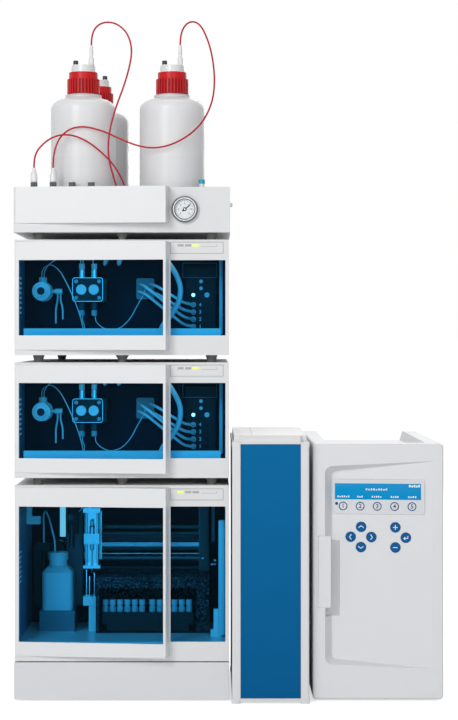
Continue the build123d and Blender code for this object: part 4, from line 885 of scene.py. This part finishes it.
def screen():
    """Blue window with plain bars standing in for its readings."""
    left, right = along(38.5), along(182.6)
    face = -display_proud - 0.02
    slab("screen_window", (left, right), (face - 0.35, face + 0.2), (338.0, 365.2), "screen",
         "detector_door", 0.3, panel_frame)
    face -= 0.36
    bars = []
    words = ((0.36, 0.62, 353.6, 3.2, 9), (0.03, 0.18, 341.4, 3.0, 6), (0.26, 0.335, 341.4, 3.0, 3),
             (0.43, 0.55, 341.4, 3.0, 5), (0.65, 0.75, 341.4, 3.0, 4), (0.85, 0.955, 341.4, 3.0, 4))
    for start, end, low, tall, letters in words:
        pitch = (end - start) * (right - left) / letters
        for count in range(letters):
            edge = left + start * (right - left) + count * pitch
            bars.append(slab("dash", (edge, edge + pitch * 0.62), (face - 0.1, face + 0.05),
                             (low, low + tall * (0.72 if count % 3 == 1 else 1.0)), "ink",
                             "detector_door", 0.05, panel_frame))
    for count in range(5):
        edge = left + 0.86 * (right - left) + count * 3.9
        bars.append(slab("dash", (edge, edge + 3.1), (face - 0.1, face + 0.05),
                         (359.4, 363.4 - (count % 2)), "ink", "detector_door", 0.05, panel_frame))
    join(bars, "screen_marks", "detector_door")


def plate_marks():
    """Raised rim of the display plate, round outlined keys and the small lamp."""
    face = -display_proud - 0.02
    marks = []
    for count, x in enumerate((52.3, 81.0, 109.6, 138.5, 167.5)):
        marks.append(ring("key_outline", (along(x), face, 326.7), 6.6, 0.8, "blue_ink",
                          "detector_door", panel_frame))
        marks.append(figure("key_figure", str(count + 1), (along(x), face, 326.7), 10.0, "blue_ink",
                            "detector_door", panel_frame))
    join(marks, "soft_key_marks", "detector_door")
    turned("plate_lamp", (along(41.4), face + 0.05, 331.0), ((2.5, 0), (2.5, 0.4), (1.9, 0.9), (0.5, 1.1)),
           "blue_ink", "detector_door", face_front, panel_frame, 24)
    deselect()
    left, right = along(display_x[0]) + 0.3, along(display_x[1]) - 0.3
    bpy.ops.mesh.primitive_plane_add(size=1, location=(0, 0, 0))
    piece = bpy.context.object
    piece.scale = ((right - left) * mm, (display_z[1] - display_z[0] - 0.6) * mm, 1)
    bpy.ops.object.transform_apply(location=False, rotation=False, scale=True)
    bpy.ops.object.mode_set(mode="EDIT")
    bpy.ops.mesh.select_all(action="SELECT")
    bpy.ops.mesh.bevel(offset=5.0 * mm, segments=6, affect="VERTICES")
    bpy.ops.mesh.select_all(action="SELECT")
    bpy.ops.mesh.inset(thickness=1.5 * mm, depth=0)
    bpy.ops.mesh.delete(type="FACE")
    bpy.ops.object.mode_set(mode="OBJECT")
    wall_of = piece.modifiers.new("thick", "SOLIDIFY")
    wall_of.thickness = 0.5 * mm
    wall_of.offset = 1
    bpy.ops.object.modifier_apply(modifier=wall_of.name)
    piece.matrix_world = Matrix.Translation(
        ((left + right) / 2 * mm, face * mm, (display_z[0] + display_z[1]) / 2 * mm)) @ face_front
    settle(piece, "display_rim", "detector", "detector_door", panel_frame)


def key_marks():
    """White arrows, plus, minus and a return mark on the seven keys."""
    face = -key_proud - 0.01
    reach = 3.8
    arrows = {"key_up": (0, 1), "key_left": (-1, 0), "key_right": (1, 0), "key_down": (0, -1)}
    for name, (x, z) in keys.items():
        u = along(x)
        lines = []
        if name in arrows:
            dx, dz = arrows[name]
            tip = (u + dx * 2.0, z + dz * 2.0)
            for side in (-1, 1):
                tail = (tip[0] - dx * reach * 0.75 + side * dz * reach,
                        tip[1] - dz * reach * 0.75 + side * dx * reach)
                lines.append((tail, tip))
        elif name == "key_enter":
            lines = [((u + 3.4, z + 2.2), (u + 3.4, z - 1.2)), ((u + 3.4, z - 1.2), (u - 3.4, z - 1.2)),
                     ((u - 3.4, z - 1.2), (u - 1.4, z + 0.8)), ((u - 3.4, z - 1.2), (u - 1.4, z - 3.2))]
        else:
            lines = [((u - 3.4, z), (u + 3.4, z))]
            if name == "key_plus":
                lines.append(((u, z - 3.4), (u, z + 3.4)))
        marks = [stroke("key_line", start, end, 1.3, face, "ink", name, panel_frame)
                 for start, end in lines]
        join(marks, f"{name}_mark", name)


# ---------------------------------------------------------------- bay lamps
def bay_lamp(title, underside, roof):
    """Lamp strip under the bay's roof, just behind the bezel's upper edge."""
    level = underside + roof
    slab(f"{title}_bay_lamp", span(stack_x, (30.0, 330.0)), span(face_y, (14.0, 21.0)),
         (level - 3.2, level - 0.4), "strip", soft=0.8)


# ---------------------------------------------------------------- sampler bay
def bay_details():
    """Strips, screws and small fittings on the bay's rear and right walls."""
    low = sampler_z
    back = face_y + bezel_t + sampler_depth
    slab("bay_side_strip", span(stack_x, (343.0, 354.6)), span(face_y, (60, 72)), (low + 34, low + 232),
         "trays", soft=3.0)
    slab("bay_rear_strip", span(stack_x, (331.0, 337.0)), (back - 6, back - 0.3),
         (low + 176, low + 252), "bottle", soft=1.5)
    for count, (x, z) in enumerate(((336.5, 142.5), (331.5, 142.0), (337.0, 149.5), (315.0, 153.0))):
        turned(f"end_plate_screw_{count + 1}", (stack_x + x, face_y + 183.5, low + z),
               ((2.6, 0), (2.6, 1.0), (1.9, 1.6), (1.0, 1.2)), "carriage", turn=face_front, sides=20)
    # thin steel tubes that stand on the wash port's head
    for count, (x, y, top) in enumerate(wash_tubes):
        tall = top - port_head_z
        turned(f"wash_port_tube_{count + 1}", (stack_x + x, face_y + y, low + port_head_z),
               ((3.0, 0), (3.0, 4), (1.3, 5), (1.3, tall - 1.2), (0.8, tall)), "carriage", sides=20)
    # square cover plate on the drive block
    slab("drive_cover", span(stack_x, (76.0, 96.0)), span(face_y, (176.0, 183.8)),
         (low + 196, low + 243), "black", soft=1.5)


# ---------------------------------------------------------------- solvent tubes
def solvent_tube(name, route, far):
    """Dark red tube laid along its route as one smooth curve."""
    data = bpy.data.curves.new(name, "CURVE")
    data.dimensions = "3D"
    data.resolution_u = 6
    data.bevel_depth = tube_d / 2 * mm
    data.bevel_resolution = 3
    spline = data.splines.new("NURBS")
    spline.points.add(len(route) - 1)
    for point, (x, y, z) in zip(spline.points, route):
        point.co = ((stack_x + x) * mm, (face_y + y) * mm, z * mm, 1.0)
    spline.order_u = 3
    spline.use_endpoint_u = True
    data.use_fill_caps = True
    data.materials.append(finishes["tube"].material)
    piece = bpy.data.objects.new(name, data)
    bpy.context.scene.collection.objects.link(piece)
    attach(piece, "base")
    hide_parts(far)

# Routes of the two red tubes: x from the stack's left side, y from the bezel
# face and z from the bench, as in the solids.
route_1 = (
    (124.3, 80, 1115.1), (124.3, 80, 1127.1), (129, 79, 1143), (139, 76, 1152), (154, 73, 1155),
    (170, 69, 1150), (184, 65, 1138), (193, 61, 1119), (195, 57, 1096), (190, 53, 1070),
    (182, 50, 1042), (172, 46, 1015), (163, 43, 987), (157, 41, 959), (155, 40, 932), (158, 41, 907),
    (165, 44, 884), (171, 48, 862), (175, 56, 841), (177, 70, 823), (177, 88, 811), (176, 108, 805),
    (173, 128, 802.5), (175, 149, 802), (185, 166, 802), (203, 170, 802.5), (217, 158, 802),
    (219, 139, 802), (212, 120, 803), (204, 102, 807), (198, 84, 814), (194, 68, 826), (190, 54, 842),
    (186, 43, 860), (181, 33, 877), (173, 24, 893), (160, 19, 911), (142, 16, 928), (124, 14, 942),
    (103, 12, 952), (83, 11, 955), (65, 11, 951), (49, 12, 941), (36, 14, 927), (31.4, 15, 911.5),
    (31.4, 15, 898.5),
)
route_2 = (
    (277.5, 80, 1115.1), (277.5, 80, 1127.1), (281, 79, 1142), (289, 76, 1153), (301, 73, 1156),
    (313, 69, 1148), (322, 64, 1130), (330, 58, 1106), (335, 52, 1078), (337, 46, 1048),
    (334, 39, 1017), (323, 31, 988), (306, 25, 965), (284, 21, 948), (258, 19, 936), (232, 19, 932),
    (207, 20, 936), (181, 22, 946), (157, 24, 958), (134, 24, 966), (111, 24, 970), (90, 23, 965),
    (74, 20, 950), (67, 17, 932), (63.7, 15, 913.5), (63.7, 15, 898.5),
)


# ---------------------------------------------------------------- studio
def backdrop_material():
    made = Finish("pale_floor", (0.86, 0.86, 0.86), 0.6)
    seen = Wire(made, made.tree.nodes.new("ShaderNodeLightPath").outputs["Is Camera Ray"])
    glow = made.node("ShaderNodeEmission", values={"Strength": 0.62})
    nothing = made.node("ShaderNodeEmission", values={"Strength": 0.0})
    lit = made.node("ShaderNodeMixShader", values={0: seen, 1: nothing, 2: glow})
    both = made.node("ShaderNodeAddShader", values={0: Wire(made, made.shader.outputs[0]), 1: lit})
    made.tree.links.new(both.socket, made.output.inputs["Surface"])
    return made.material


def floor():
    deselect()
    bpy.ops.mesh.primitive_plane_add(size=60, location=(0, 20, -0.0005))
    plane = bpy.context.object
    plane.name = "studio_floor"
    plane.data.materials.append(backdrop_material())
    bpy.ops.object.transform_apply()


def lamp(name, place, aim, size, power):
    data = bpy.data.lights.new(name, "AREA")
    data.shape = "SQUARE"
    data.size = size
    data.energy = power
    made = bpy.data.objects.new(name, data)
    made.location = place
    made.rotation_euler = (Vector(aim) - Vector(place)).to_track_quat("-Z", "Y").to_euler()
    bpy.context.scene.collection.objects.link(made)


def sky():
    world = bpy.data.worlds.new("studio_sky")
    bpy.context.scene.world = world
    world.use_nodes = True
    tree = world.node_tree
    tree.nodes.clear()
    path = tree.nodes.new("ShaderNodeLightPath")
    dim = tree.nodes.new("ShaderNodeBackground")
    dim.inputs["Color"].default_value = (0.97, 0.98, 1.0, 1.0)
    dim.inputs["Strength"].default_value = 0.33
    bright = tree.nodes.new("ShaderNodeBackground")
    bright.inputs["Strength"].default_value = 1.0
    bright.inputs["Color"].default_value = (1.0, 1.0, 1.0, 1.0)
    mix = tree.nodes.new("ShaderNodeMixShader")
    end = tree.nodes.new("ShaderNodeOutputWorld")
    seen = None
    for title in ("Is Camera Ray", "Is Glossy Ray", "Is Transmission Ray"):
        if seen is None:
            seen = path.outputs[title]
        else:
            most = tree.nodes.new("ShaderNodeMath")
            most.operation = "MAXIMUM"
            tree.links.new(seen, most.inputs[0])
            tree.links.new(path.outputs[title], most.inputs[1])
            seen = most.outputs[0]
    tree.links.new(seen, mix.inputs[0])
    tree.links.new(dim.outputs[0], mix.inputs[1])
    tree.links.new(bright.outputs[0], mix.inputs[2])
    tree.links.new(mix.outputs[0], end.inputs[0])


def camera():
    data = bpy.data.cameras.new("front_view")
    data.sensor_fit = "VERTICAL"
    data.sensor_height = 36.0
    data.lens = 98.04
    data.shift_x = 14 / 720
    data.shift_y = -25 / 720
    data.clip_end = 100
    made = bpy.data.objects.new("front_view", data)
    made.location = (-0.0226, -3.5335, 0.616)
    made.rotation_euler = (radians(90), 0, 0)
    bpy.context.scene.collection.objects.link(made)
    bpy.context.scene.camera = made


for title, underside in (("pump_1", pump_z[0]), ("pump_2", pump_z[1])):
    status_windows(title, underside, 2)
    bay_lamp(title, underside, pump_bay[1])
    port_marks(title, underside)
    head_outline(title, underside)
    roof_fittings(title, underside)
    knob_face(title, "purge_knob_" + title[-1], underside)
status_windows("sampler", sampler_z, 0)
bay_lamp("sampler", sampler_z, sampler_bay[1])
bay_details()
gauge_marks()
hose_sleeves()
screen()
plate_marks()
key_marks()
solvent_tube("solvent_tube_long", route_1, "solvent_tube_1")
solvent_tube("solvent_tube_short", route_2, "solvent_tube_2")

floor()
sky()
lamp("key_light", (-1.7, -3.5, 2.0), (-0.05, -0.2, 0.55), 1.2, 56)
lamp("fill_light", (0.6, -4.2, 0.9), (0.0, 0.0, 0.5), 2.2, 30)
lamp("rear_light", (0.8, 3.6, 1.9), (0.0, 0.2, 0.5), 2.2, 22)
lamp("top_light", (0.0, 0.2, 3.2), (0.0, 0.0, 0.6), 2.0, 15)
camera()
bpy.context.scene.view_settings.view_transform = "Standard"
